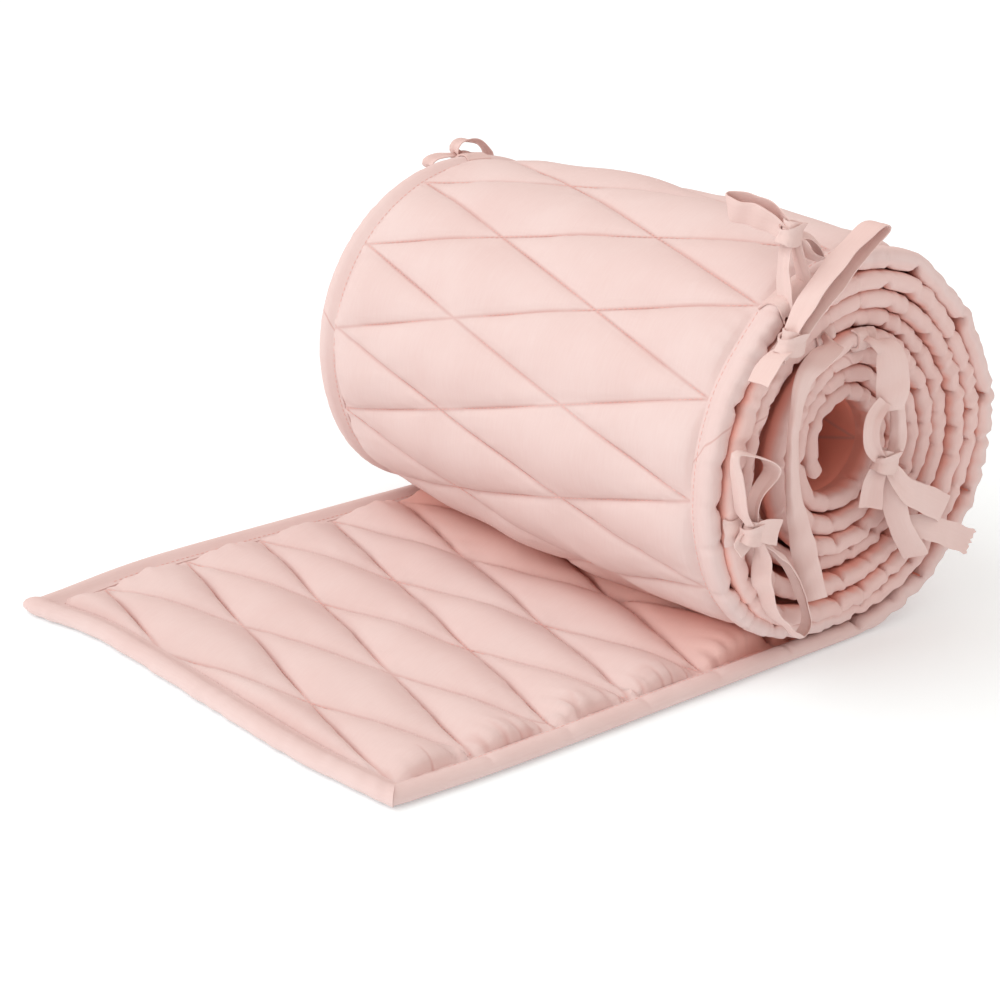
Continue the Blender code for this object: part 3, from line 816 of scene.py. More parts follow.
    def shape(self, x: Array, s: Array, side: Array) -> Array:
        """Places of the panel's faces: side 0 is the outer or lower face, side 1 the inner or upper one."""
        roll = self.winding
        s = np.clip(s, self.raw_inset, roll.length - self.raw_inset)
        up, down = self.heights(x, s)
        turn = roll.turn(s)
        inside = (np.abs(x) < self.width / 2 + TINY) & (s > roll.band) & (s < roll.length - roll.band)
        soft = np.where(inside, self.puckers(x, s, side), 0.0)
        fold = sum(crease.at(x, s) for crease in self.creases)
        starts, stops = self.seen_down
        up = up + soft * soft_step(turn, *self.seen_up) * np.where(side > 0.5, 1.0, 0.0)
        seen = soft_step(turn, *starts) * soft_step(turn, *stops)
        down = down - (soft + np.where(inside, fold, 0.0)) * seen
        return roll.place(x, s, np.where(side > 0.5, up, down))

    def painted_shade(self, x: Array, s: Array, side: Array) -> Array:
        """How much painted warm shade the cloth gets, from 0 to 1: between the turns, on the tail's upper
        face in the nip, and fully in the core.
        """
        turn = self.winding.turn(s)
        painted_warm_shade = np.maximum(soft_step(turn, *self.between), side * soft_step(turn, *self.nip))
        return np.maximum(painted_warm_shade * self.painted_warm_shade, soft_step(turn, *self.core))

    def build(self, material: Material) -> bpy.types.Object:
        """Make the panel, with its grid laid along the stitch lines where they show."""
        roll = self.winding
        edge = roll.height / 2 - self.raw_inset
        inner = np.linspace(-self.width / 2, self.width / 2, self.columns + 1)
        beside = self.width / 2 - np.array(self.beside)
        across = np.sort(np.concatenate([[-edge, edge], inner, beside, -beside]))
        cells = np.clip((across + self.width / 2) / self.width * self.columns, 0.0, self.columns)
        step = roll.pitch / self.fine
        first = roll.first_diamond - math.floor((roll.first_diamond - roll.band) / step) * step
        fine = np.arange(first, self.fine_end, step)
        coarse = np.arange(fine[-1] + self.coarse_step, roll.length - roll.band - 0.004, self.coarse_step)
        ends = np.array([roll.length - roll.band, roll.length - self.raw_inset])
        along = np.concatenate([[self.raw_inset, roll.band], fine, coarse, ends])
        slide = np.zeros(len(along))
        slide[2:2 + len(fine)] = step / 2
        slab = ClothSlab("panel_cloth", across, along, self.shape, painted_shade=self.painted_shade,
                         column_share=1.0 - np.abs(cells % 2 - 1.0), row_slide=slide)
        return slab.build(material)


# ---------------------------------------------------------------- the bindings

@dataclass
class Notches:
    """Small creases across a binding: at the quilting's corners, and closer together inside the roll.

    The soft step starts is in metres along the strip. The other pairs are the ranges of random draws.
    """

    winding: Winding
    end: End
    inside_turn: float = 0.97
    far_share: float = 0.12
    starts: Ramp = (0.26, 0.05)
    corner_depth: float = 0.25
    corner_width: float = 0.0022
    between_aside: Range = (0.017, 0.030)
    between_depth: Range = (0.1, 0.45)
    between_width: float = 0.0024
    inside_depth: Range = (0.25, 1.0)
    inside_width: Range = (0.0012, 0.0022)
    inside_step: Range = (0.012, 0.027)
    inside_fade: float = 0.05
    reach: float = 1.6
    close: tuple[float, ...] = (-0.0026, -0.0012, 0.0, 0.0012, 0.0026)

    def __post_init__(self) -> None:
        """Place every crease once, alike on each run."""
        roll = self.winding
        draw = np.random.default_rng(40 + self.end.value)
        inside, last = roll.at_turn(self.inside_turn), roll.length - roll.band
        s = roll.first_diamond + (roll.pitch / 2 if self.end is End.NEAR else 0.0)
        seen = 1.0 if self.end is End.NEAR else self.far_share
        rows = []
        while s < last:
            if s < inside:
                start = soft_step(np.array(s), *self.starts)
                depth = seen * (self.corner_depth + (1.0 - self.corner_depth) * start)
                rows.append((s, depth, self.corner_width))
                aside = s + draw.uniform(*self.between_aside)
                depth = seen * draw.uniform(*self.between_depth) * start
                rows.append((aside, depth, self.between_width))
                s += roll.pitch
            else:
                rows.append((s, draw.uniform(*self.inside_depth), draw.uniform(*self.inside_width)))
                s += draw.uniform(*self.inside_step)
        self.places, self.depths, self.widths = (np.array(column, dtype=float) for column in zip(*rows))
        fade = soft_step(self.places, inside, self.inside_fade)
        self.corners = draw.uniform(-1.0, 1.0, len(rows)) * fade

    def at(self, s: Array) -> Array:
        """How far the binding is drawn in at each place, from 0 to 1."""
        nearest = np.searchsorted((self.places[1:] + self.places[:-1]) / 2, s)
        away = np.abs(s - self.places[nearest]) / self.widths[nearest]
        return self.depths[nearest] * np.clip(1.0 - away / self.reach, 0.0, 1.0)

    def facets(self, s: Array) -> Array:
        """The straight stretches from crease to crease inside the roll, from -1 to 1."""
        return np.interp(s, self.places, self.corners)

    def stations(self, step: float) -> Array:
        """Places for a binding's sections: evenly spaced, and closer together in each crease."""
        even = np.linspace(0.0, self.winding.length, int(self.winding.length / step))
        close = self.places[:, None] + np.array(self.close)
        return np.unique(np.clip(np.concatenate([even, close.ravel()]), 0.0, self.winding.length))


@dataclass
class Binding:
    """A bias strip folded over an edge of the panel, puffy over the seam inside it.

    A place w round the fold goes from -1 at its outer or lower edge, over 0 at its nose, to 1 at its
    inner edge. A soft step's start and width are in turns of the roll, unless its name says round.
    """

    winding: Winding
    wall: float = 0.0009
    seam: float = 0.0018
    nose_depth: float = 0.0062
    nose_share: float = 0.45
    square: float = 0.62
    square_from: float = 0.03
    full: float = 0.0048
    gap: float = 0.0002
    slack: float = 0.0012
    slack_turns: tuple[Ramp, Ramp] = ((0.15, 0.1), (0.75, -0.1))
    sunk: float = 0.0010
    lying: float = 0.0042
    lying_under: float = 0.0039
    lying_middle: float = -0.0010
    lying_tuck: float = 0.0004
    spread: float = 0.0016
    facet: float = 0.0006
    ripple: Ripple = Ripple(0.007, 0.022, 31)
    ripple_top: float = 0.00016
    ripple_in: float = 0.00040
    ripple_side: float = 0.00018
    calm: float = 1.0
    notch_round: Ramp = (-0.15, 0.4)
    notch_least: float = 0.12
    notch_up: float = 0.80
    notch_down: float = 0.30
    notch_in: Range = (0.0012, 0.0006)          # on the roll, and how much less on the floor
    station: float = 0.0030
    samples: int = 21
    corner: float = 0.0015
    corner_reach: float = 0.014
    mitre_place: float = 0.004
    # painted warm shade on the binding between the turns: its strength, its share at the nose, and its
    # start round the fold and along the roll
    shaded: float = 0.7
    warm: float = 0.18
    shade_round: Ramp = (0.22, 0.30)
    shade_inner: Ramp = (0.06, 0.1)
    shade_outer: Ramp = (0.97, 0.05)
    end: End = End.NEAR

    def __post_init__(self) -> None:
        """Place the creases of this end."""
        self.notches = Notches(self.winding, self.end)

    def angle(self, w: Array) -> Array:
        """Angle round the nose, up to a right angle where the fold's sides start."""
        return np.clip(np.abs(w) / self.nose_share, 0.0, 1.0) * math.pi / 2

    def section(self, w: Array, s: Array) -> tuple[Array, Array]:
        """The fold's outer surface.

        Args:
            w: place round the fold.
            s: place along the strip.

        Returns:
            Distance in from the strip's edge, and height from its middle.
        """
        roll = self.winding
        inner, outer = roll.room(s)
        floor, turn = roll.floor_share(s), roll.turn(s)
        rolled = 1 - floor
        above = w > 0
        way = np.where(above, 1.0, -1.0)
        share = np.abs(w)
        on_nose = share < self.nose_share
        eased = math.prod(soft_step(turn, *ramp) for ramp in self.slack_turns)
        up = np.minimum(inner - self.gap / 2, self.full) + self.slack * eased
        down = np.minimum(outer - self.gap / 2, self.full)
        rest = self.seam + self.gap + self.wall
        centre = floor * self.lying_middle
        top = np.where(above, floor * self.lying + rolled * up, floor * self.lying_under + rolled * down)
        edge = np.where(above, rolled * rest - floor * self.lying_tuck,
                        floor * self.lying_under + rolled * (rest - self.sunk))
        free = 1 - floor * (w < 0)
        wave = self.ripple.at(s + 0.004 * w) * free * np.where(turn < 1.0, self.calm, 1.0)
        pinch = self.notch_least + (1.0 - self.notch_least) * soft_step(w, *self.notch_round)
        pinch = self.notches.at(s) * pinch * free
        top = top * (1.0 - np.where(above, self.notch_up, self.notch_down) * pinch)
        top = top - np.abs(wave) * self.ripple_top
        angle = self.angle(w)
        past = soft_step(share, self.nose_share, 1.0 - self.nose_share)
        along = (share - self.nose_share) / (1.0 - self.nose_share)
        square = np.where(turn > self.square_from, self.square, 1.0)
        u = np.where(on_nose, self.nose_depth * (1.0 - np.cos(angle) ** square),
                     self.nose_depth + (roll.band - self.gap - self.nose_depth) * along)
        rise = np.where(on_nose, (top - way * centre) * np.sin(angle) ** square,
                        (top - way * centre) + (edge - top) * past)
        most, less = self.notch_in
        drawn = (most - less * floor) * pinch + self.ripple_in * wave * rolled - self.spread * floor
        turned = self.ripple_side * wave + self.facet * self.notches.facets(s)
        turned = rolled * (1.0 - past) * turned
        return u + (1.0 - past) * drawn + turned * 0.8, centre + way * rise + turned

    def layered(self, w: Array, s: Array, side: Array) -> tuple[Array, Array]:
        """The fold's outer surface for side 0, and its inner surface for side 1."""
        u, h = self.section(w, s)
        angle = self.angle(w)
        way = np.where(w > 0, 1.0, -1.0)
        return u + side * self.wall * np.cos(angle), h - side * way * self.wall * np.sin(angle)

    def rounding(self, w: Array, left: Array) -> Array:
        """How far the fold is drawn in by a corner, from the distance that is left to it."""
        near = np.clip(1.0 - left / self.corner_reach, 0.0, 1.0) ** 2
        return self.corner * near * np.clip(1.0 - np.abs(w), 0.0, 1.0)

    def painted_shade(self, w: Array, s: Array, side: Array) -> Array:
        """How much painted warm shade the binding gets between the turns, from 0 at its nose."""
        turn = self.winding.turn(s)
        rolled = np.where(w > 0, soft_step(turn, *self.shade_inner), soft_step(turn, *self.shade_outer))
        warm = self.warm + (1.0 - self.warm) * soft_step(np.abs(w), *self.shade_round)
        return rolled * warm * self.shaded

    def slab(self, name: str, along: Array, shape: Shape, painted_shade: Shape | None) -> ClothSlab:
        """The binding's cloth, with its sections at the given places."""
        stations = np.linspace(-1.0, 1.0, self.samples)
        widths = stations * (self.winding.band + self.full * 0.8)
        return ClothSlab(name, stations, along, shape, widths=widths, painted_shade=painted_shade)


@dataclass
class LongBinding(Binding):
    """The binding of one long edge, which shows as one layer after another in the roll's end."""

    def shape(self, w: Array, s: Array, side: Array) -> Array:
        """Places of the binding, mitred at both ends of the strip."""
        roll = self.winding
        u, h = self.layered(w, np.clip(s, self.mitre_place, roll.length - self.mitre_place), side)
        u = u + self.rounding(w, s)
        reach = 3 * roll.band
        left = roll.length - s
        there = np.where(s < reach, u + s * (reach - u) / reach, s)
        there = np.where(left < reach, roll.length - u - left * (reach - u) / reach, there)
        return roll.place(self.end.value * (roll.height / 2 - u), there, h)

    def build(self, material: Material) -> bpy.types.Object:
        """Make the binding of this end."""
        name = f"binding_{self.end.name.lower()}"
        slab = self.slab(name, self.notches.stations(self.station), self.shape, self.painted_shade)
        return slab.build(material)


@dataclass
class ShortBinding(Binding):
    """The binding of the tail's free end, or of the end in the core."""

    at_tail: bool = True
    unevenness: float = 0.00025

    def shape(self, w: Array, x: Array, side: Array) -> Array:
        """Places of the binding, mitred into the long ones."""
        roll = self.winding
        place = self.mitre_place if self.at_tail else roll.length - self.mitre_place
        u, h = self.layered(w, np.full(x.shape, place), side)
        soft = np.clip(1.0 - np.abs(w), 0.0, 1.0)
        u = u + self.unevenness * Ripple(0.010, 0.04, 77).at(x) * soft
        u = u + self.rounding(w, roll.height / 2 - np.abs(x))
        h = h + np.where(w > 0, self.unevenness, 0.0) * Ripple(0.007, 0.02, 78).at(x) * soft
        across = x / (roll.height / 2) * (roll.height / 2 - u)
        return roll.place(across, u if self.at_tail else roll.length - u, h)

    def build(self, material: Material) -> bpy.types.Object:
        """Make the binding of this end of the strip."""
        name = f"binding_{'tail' if self.at_tail else 'core'}_fold"
        along = np.linspace(-self.winding.height / 2, self.winding.height / 2, 121)
        return self.slab(name, along, self.shape, None).build(material)


# ---------------------------------------------------------------- the ties

ALONG_X, UPRIGHT, SIDEWAYS = (1.0, 0.0, 0.0), (0.0, 0.35, 0.94), (0.65, 0.76, 0.0)
SLANTED, TIPPED, DROOPED = (0.0, 0.7, 0.7), (0.0, -0.35, 0.94), (0.0, 0.57, 0.82)
TAPE_WIDTH = 0.013              # when flat
TAPE_THICKNESS = 0.0009
Row = tuple[float, float, float, float]


@dataclass
class Strand:
    """One stretch of tape: the direction of its width, and its places (x, y, z, width) in mm.

    The spacing of its sections and its narrowest and widest stretches are in mm too.
    """

    facing: Triple
    rows: tuple[Row, ...]
    pinked: bool = False
    spacing: float = 1.6
    narrowest: float = 3.0
    widest: float = 16.0
    folded: float = 0.42
    most_folded: float = 0.75
    fold_line: float = 0.30
    fold_softness: float = 0.015
    cup: float = 0.0005
    cup_wave: float = 0.0003
    edge_wave: float = 0.03
    thin_edge: float = 0.45
    tooth: float = 0.0032
    teeth: float = 3.5
    fray: float = 0.04
    stations: int = 13

    def places(self) -> tuple[Array, Array]:
        """Closely spaced places along the strand, in metres, and the tape's width at each."""
        points = np.array(self.rows, dtype=float)
        points = np.vstack([2 * points[0] - points[1], points, 2 * points[-1] - points[-2]])
        found = []
        for a, b, c, d in zip(points, points[1:], points[2:], points[3:]):
            count = max(int(np.linalg.norm((c - b)[:3]) / self.spacing), 2)
            for t in np.arange(count) / count:
                found.append(0.5 * (2 * b + (c - a) * t + (2 * a - 5 * b + 4 * c - d) * t ** 2
                                    + (3 * b - a - 3 * c + d) * t ** 3))
        found = np.array([*found, points[-2]])
        return found[:, :3] * MM - ORIGIN, np.clip(found[:, 3], self.narrowest, None) * MM

    def length(self) -> float:
        """Length of the strand along its middle."""
        return float(spans(self.places()[0]).sum())

    def build(self, name: str, seed: int, material: Material) -> bpy.types.Object:
        """Make the strand as tape that folds lengthwise where it is drawn together.

        Args:
            name: the strand's name.
            seed: which way it folds and which uneven waves it has.
            material: the tape's finish.

        Returns:
            The strand's object.
        """
        middle, widths = self.places()
        ways = unit(np.gradient(middle, axis=0))
        facing = np.array(self.facing)
        wide = unit(facing - ways * (ways @ facing)[:, None])
        out = np.cross(wide, ways)
        run = np.concatenate([[0.0], np.cumsum(spans(middle))])
        full = min(max(TAPE_WIDTH, float(widths.max())), self.widest * MM)
        line = self.fold_line * math.sin(seed * 2.3)

        def shape(a: Array, along: Array, side: Array) -> Array:
            """Places of the tape's two faces."""
            row = np.rint(along).astype(int)
            width = widths[row]
            drawn = np.clip(1.0 - width / full, 0.0, self.most_folded)
            fold = np.sqrt((a - line) ** 2 + self.fold_softness) - 0.5
            fold = drawn * self.folded * full * fold * (-1) ** seed
            cup = self.cup * (1.0 - a * a) * math.sin(seed * 1.7)
            cup = cup + self.cup_wave * Ripple(0.012, 0.04, seed).at(run[row] + a * 0.004)
            lift = fold + cup + (side - 0.5) * TAPE_THICKNESS * (1.0 - self.thin_edge * np.abs(a) ** 6)
            if self.pinked:
                tooth = np.abs(((a * self.teeth) % 1.0) - 0.5) * 2.0 - 0.5
            else:
                tooth = self.fray * np.sin(a * 3 + seed)
            cut = np.clip((row - (len(run) - 3)) / 2.0, 0.0, 1.0) * tooth * self.tooth
            wave = 1.0 + self.edge_wave * Ripple(0.015, 0.05, seed + 9).at(run[row])
            return (middle[row] + wide[row] * (a * width / 2 * wave)[:, None]
                    + out[row] * lift[:, None] + ways[row] * cut[:, None])

        stations = np.linspace(-1.0, 1.0, self.stations)
        slab = ClothSlab(name, stations, np.arange(len(run), dtype=float), shape,
                         widths=stations * full / 2, runs=run)
        return slab.build(material)


@dataclass
class Knot:
    """The tape drawn together: two flat bands wrapped slantwise round a pinched bundle."""

    middle: Triple
    radii: Triple
    bundle: Triple = UPRIGHT
    shares: Triple = (0.72, 0.70, 1.05)     # depth and half width as shares of the radii, and length
    creases: float = 0.10
    band: float = 0.0085
    squareness: float = 2.8
    turned_out: float = 0.0005
    groove: Triple = (0.2, 0.25, 0.0004)    # place and width as shares of half the band, and depth
    waist: float = 0.22
    uneven: tuple[float, float] = (0.10, 900.0)
    around: float = 0.985
    under: tuple[float, float] = (-0.0012, 0.0002)      # lean and looseness of the inner band
    over: tuple[float, float] = (0.0026, 0.0012)

    def __post_init__(self) -> None:
        """Find the knot's middle, its sizes and its three directions."""
        axis = np.array(self.bundle)
        self.axis = axis / np.linalg.norm(axis)
        first = np.cross(self.axis, ALONG_X)
        self.first = first / np.linalg.norm(first)
        self.second = np.cross(self.axis, self.first)
        self.centre = np.array(self.middle) * MM - ORIGIN
        self.depth = self.radii[0] * MM * self.shares[0]
        self.size = (self.radii[1] + self.radii[2]) / 2 * MM * self.shares[1]

    def wrap(self, name: str, lean: float, loose: float, material: Material) -> bpy.types.Object:
        """One band of tape round the bundle.

        Args:
            name: the band's name.
            lean: how far it slides along the bundle from one side of it to the other.
            loose: how far it stands off the bundle.
            material: the tape's finish.

        Returns:
            The band's object.
        """
        power = self.squareness
        place, width, deep_groove = self.groove
        size, phase = self.uneven

        def shape(a: Array, along: Array, side: Array) -> Array:
            """Places of the band, squared off and with its edges turned out a little."""
            across, deep = np.cos(along), np.sin(along)
            reach = (np.abs(across) ** power + np.abs(deep) ** power) ** (-1.0 / power)
            out = loose + (side - 0.5) * TAPE_THICKNESS + self.turned_out * a * a
            out = out - deep_groove * np.exp(-((a - place) / width) ** 2)
            narrow = 1.0 - self.waist * np.cos(2 * along) + size * np.sin(along + lean * phase)
            slide = a * self.band / 2 * narrow + lean * across * reach
            return (self.centre + (across * reach * (self.size + out))[:, None] * self.first
                    + (deep * reach * (self.depth + out))[:, None] * self.second
                    + slide[:, None] * self.axis)

        turns = np.linspace(0.0, 2 * math.pi * self.around, 61)
        return ClothSlab(name, np.linspace(-1.0, 1.0, 9), turns, shape).build(material)

    def build(self, name: str, material: Material) -> bpy.types.Object:
        """Make both bands and the bundle inside them."""
        bm = bmesh.new()
        made = bmesh.ops.create_icosphere(bm, subdivisions=4, radius=1.0)
        for vert in made["verts"]:
            x, y, z = vert.co
            fold = 1.0 + self.creases * math.cos(4 * math.atan2(y, x) + 0.7) * (1.0 - z ** 2)
            vert.co = Vector(self.centre + self.first * x * self.size * fold
                             + self.second * y * self.depth * fold
                             + self.axis * z * self.size * self.shares[2])
        mesh = mesh_from(bm, name)
        mesh.uv_layers.new(name="cloth")
        mesh.materials.append(material)
        wraps = [self.wrap(f"{name}_{layer}", *sizes, material)
                 for layer, sizes in (("under", self.under), ("over", self.over))]
        return joined(name, (settle(mesh, name), *wraps))


@dataclass
class Tie:
    """A tape sewn to the binding's nose: its sewn end, its knot and its strands."""

    name: str
    node: str
    end: End
    turn: float
    width: float
    sewn: Sewn
    strands: tuple[Strand, ...]
    knot: Knot | None = None
    flare: float = 0.25
    proud: float = 0.0003
    sewn_thickness: float = 0.0011
    sewn_tape: float = 0.020
    knot_tape: float = 0.045

    def sewn_end(self, fold: Binding, material: Material) -> bpy.types.Object:
        """The tape's end where it is stitched down round the binding."""
        roll = fold.winding
        s = roll.at_turn(self.turn)
        low, high = self.sewn.value

        def shape(a: Array, along: Array, side: Array) -> Array:
            """Places of the sewn end, a little proud of the binding."""
            w = low + (high - low) * along
            there = s + a * self.width * MM / 2 * (1.0 + self.flare * (2.0 * along - 1.0) ** 2)
            u, h = fold.section(w, there)
            angle = fold.angle(w)
            out = self.proud + side * self.sewn_thickness
            way = np.where(w > 0, 1.0, -1.0)
            return roll.place(self.end.value * (roll.height / 2 - u + out * np.cos(angle)), there,
                              h + way * out * np.sin(angle))

        stations = np.linspace(-1.0, 1.0, 11)
        slab = ClothSlab(self.name + "_sewn", stations, np.linspace(0.0, 1.0, 15), shape,
                         widths=stations * self.width * MM / 2)
        return slab.build(material)

    def build(self, fold: Binding, material: Material) -> bpy.types.Object:
        """Make the whole tie.

        Args:
            fold: the binding that it is sewn to.
            material: the tape's finish.

        Returns:
            The tie's one object.
        """
        parts = [self.sewn_end(fold, material)]
        for number, strand in enumerate(self.strands):
            parts.append(strand.build(f"{self.name}_{number}", number + 2, material))
        if self.knot:
            parts.append(self.knot.build(f"{self.name}_knot", material))
        return joined(self.name, parts)

    def flat_length(self) -> float:
        """Length of tape in the tie."""
        loose = sum(strand.length() for strand in self.strands)
        return loose + (self.knot_tape if self.knot else 0.0) + self.sewn_tape


TIES = (
    Tie("bow_top", "tie_top", End.NEAR, 0.590, 24, Sewn.FOLDED, (
        Strand(ALONG_X, ((149, 235, 179.5, 11), (148.5, 232.3, 190, 10), (147.5, 231.6, 203, 9),
                         (146.8, 233.8, 219.2, 6))),
        Strand(ALONG_X, ((149, 249, 184.5, 13), (148.5, 245, 194, 11), (147.2, 241, 205, 9),
                         (146.2, 236.4, 217.6, 6))),
        Strand(TIPPED, ((148, 234.1, 218.5, 7), (133, 233.6, 222.2, 13), (118, 234.2, 222.9, 13),
                        (107.5, 234.8, 223.2, 13), (104.8, 237.3, 224.1, 13), (108, 239.8, 225, 13),
                        (124, 239.4, 225, 13), (138, 238, 223.4, 12), (147, 235.9, 219.5, 7))),
        Strand(ALONG_X, ((146.5, 234.2, 219, 6), (146, 244.2, 217.3, 8), (146, 254.1, 210.4, 8),
                         (146, 257, 203.5, 8), (146, 248.4, 206.9, 8), (146.5, 236, 216.6, 6))),
    ), Knot((146.5, 235, 219), (4.6, 5, 5.6))),
    Tie("bow_upper", "tie_upper", End.NEAR, 1.625, 11, Sewn.FLAT, (
        Strand(SLANTED, ((153.9, 231.3, 167, 7), (157, 229.4, 169.4, 8), (160, 226, 171.5, 7))),
        Strand(ALONG_X, ((160, 226.6, 171.8, 7), (161, 235.5, 182, 10), (162, 248, 194.5, 12),
                         (162, 262.5, 206.6, 12), (162, 274, 214.4, 12), (162, 279, 219, 11),
                         (162, 272.1, 219.6, 12), (162, 256, 211, 12), (162, 241, 199.2, 12),
                         (161, 229.4, 186, 11), (160, 224.2, 174, 7))),
        Strand(ALONG_X, ((160, 224.8, 172, 8), (160, 215.8, 167.8, 12), (160, 209.7, 162.4, 12.5),
                         (160, 205, 156.7, 12.5))),
    ), Knot((160, 225.5, 172), (4.8, 7.4, 7.4))),
    Tie("bow_lower", "tie_lower", End.NEAR, 1.780, 11, Sewn.FLAT, (
        Strand(UPRIGHT, ((155.4, 203.6, 84, 6), (157.5, 205.2, 84.2, 8), (160, 207, 84.3, 7))),
        Strand(ALONG_X, ((160, 206.4, 85.5, 6), (160, 199, 94.5, 9), (160, 195.5, 108, 9),
                         (160, 191.5, 122, 7), (160, 193.5, 126.5, 7), (160, 204.3, 122.6, 11),
                         (160, 216.1, 116.8, 12), (160, 218.4, 110.5, 10), (160, 209, 101.5, 8),
                         (160, 207.5, 86.6, 6))),
        Strand(ALONG_X, ((160, 207.6, 82.8, 6), (160, 214.9, 70.6, 11), (160, 215.8, 55.4, 13),
                         (160, 224.7, 38.6, 12), (160, 238.1, 24.7, 9), (160, 246, 19.8, 6),
                         (160, 250.4, 27.7, 6), (160, 243.7, 45.7, 7), (160, 231, 63.5, 7),
                         (160, 210.4, 81, 6))),
        Strand(UPRIGHT, ((162.5, 205, 84.7, 8), (165.3, 210.3, 85.4, 12), (166, 219.2, 82.8, 12.5))),
        Strand(UPRIGHT, ((160, 206, 82.5, 7), (160, 201.6, 79.9, 10), (160, 197.4, 77.5, 10))),
    ), Knot((160, 207.4, 84), (4.8, 6.6, 6.6))),
    Tie("strap_hanging", "strap_long", End.NEAR, 3.565, 12, Sewn.FLAT, (
        Strand(SIDEWAYS, ((142.7, 268.4, 163.7, 5), (149, 265.5, 162.4, 8), (156.5, 257, 163, 11),
                          (158.5, 247, 160.2, 11), (158, 238.2, 151.9, 9), (157.5, 234.5, 133.2, 6),
                          (157.5, 234.3, 113.2, 6), (158, 236.9, 92.3, 8), (158.5, 244.5, 67.6, 12),
                          (158.5, 255.5, 36.3, 13))),
    )),
    Tie("bow_core", "tie_core", End.NEAR, 4.505, 12, Sewn.FLAT, (
        Strand(SIDEWAYS, ((147.1, 293.4, 157.6, 8), (151, 294.4, 158.4, 10), (157, 296.7, 156, 12),
                          (160, 297.5, 148.4, 15), (161, 298.4, 137, 16), (160, 299, 125, 13))),
        Strand(SIDEWAYS, ((159.6, 295, 129.8, 7), (159, 287.9, 121, 8), (159, 288.9, 108.9, 8),
                          (159.5, 297, 99.3, 6))),
        Strand(SIDEWAYS, ((159.6, 303.6, 129.2, 7), (159, 307.6, 114.5, 8), (159, 307.6, 104.1, 8),
                          (159.5, 302, 97.6, 6))),
        Strand(SIDEWAYS, ((159.5, 297.2, 98, 7), (158.5, 292.9, 88.9, 10), (158.5, 291.9, 75.3, 11))),
        Strand(SIDEWAYS, ((159.5, 300.5, 97.3, 7), (160, 305.6, 81.1, 11), (160, 313.9, 61.7, 12),
                          (160, 328.6, 41.3, 12.5))),
        Strand(DROOPED, ((160.5, 300.4, 95.5, 7), (165, 310.5, 82.5, 12), (165.8, 325, 74.5, 14),
                         (165.5, 338.5, 67, 14), (163, 343, 64.3, 14), (160.3, 339, 67, 13),
                         (159.2, 327, 74.8, 12), (159.2, 314, 83, 9), (160, 302.5, 94.5, 6))),
        Strand(UPRIGHT, ((160.3, 315, 61.9, 8), (162.5, 328, 58.5, 12), (165, 343, 52.2, 13),
                         (166, 363.9, 42, 14)), pinked=True),
    ), Knot((159.5, 299.5, 98.5), (4.6, 7.6, 6.6))),
    Tie("bow_far", "tie_far", End.FAR, 0.508, 12, Sewn.FOLDED, (
        Strand(ALONG_X, ((-157, 291, 190, 6), (-157, 285.6, 196.1, 9), (-157, 287.3, 200.2, 9),
                         (-157, 293.8, 201.6, 9), (-157, 303.4, 198, 9), (-157, 309.2, 191.4, 9),
                         (-157, 302.6, 188.3, 8), (-157, 291.6, 189, 6))),
        Strand(ALONG_X, ((-156, 290, 191.4, 6), (-155.5, 278.9, 194.5, 9), (-155.5, 268.2, 194.1, 9),
                         (-155.5, 265.3, 191.3, 9), (-155.5, 273.2, 189, 8), (-156, 290, 189, 6))),
    ), Knot((-156.5, 290.5, 190), (4.4, 4.8, 4.2))),
)


# ---------------------------------------------------------------- sewing

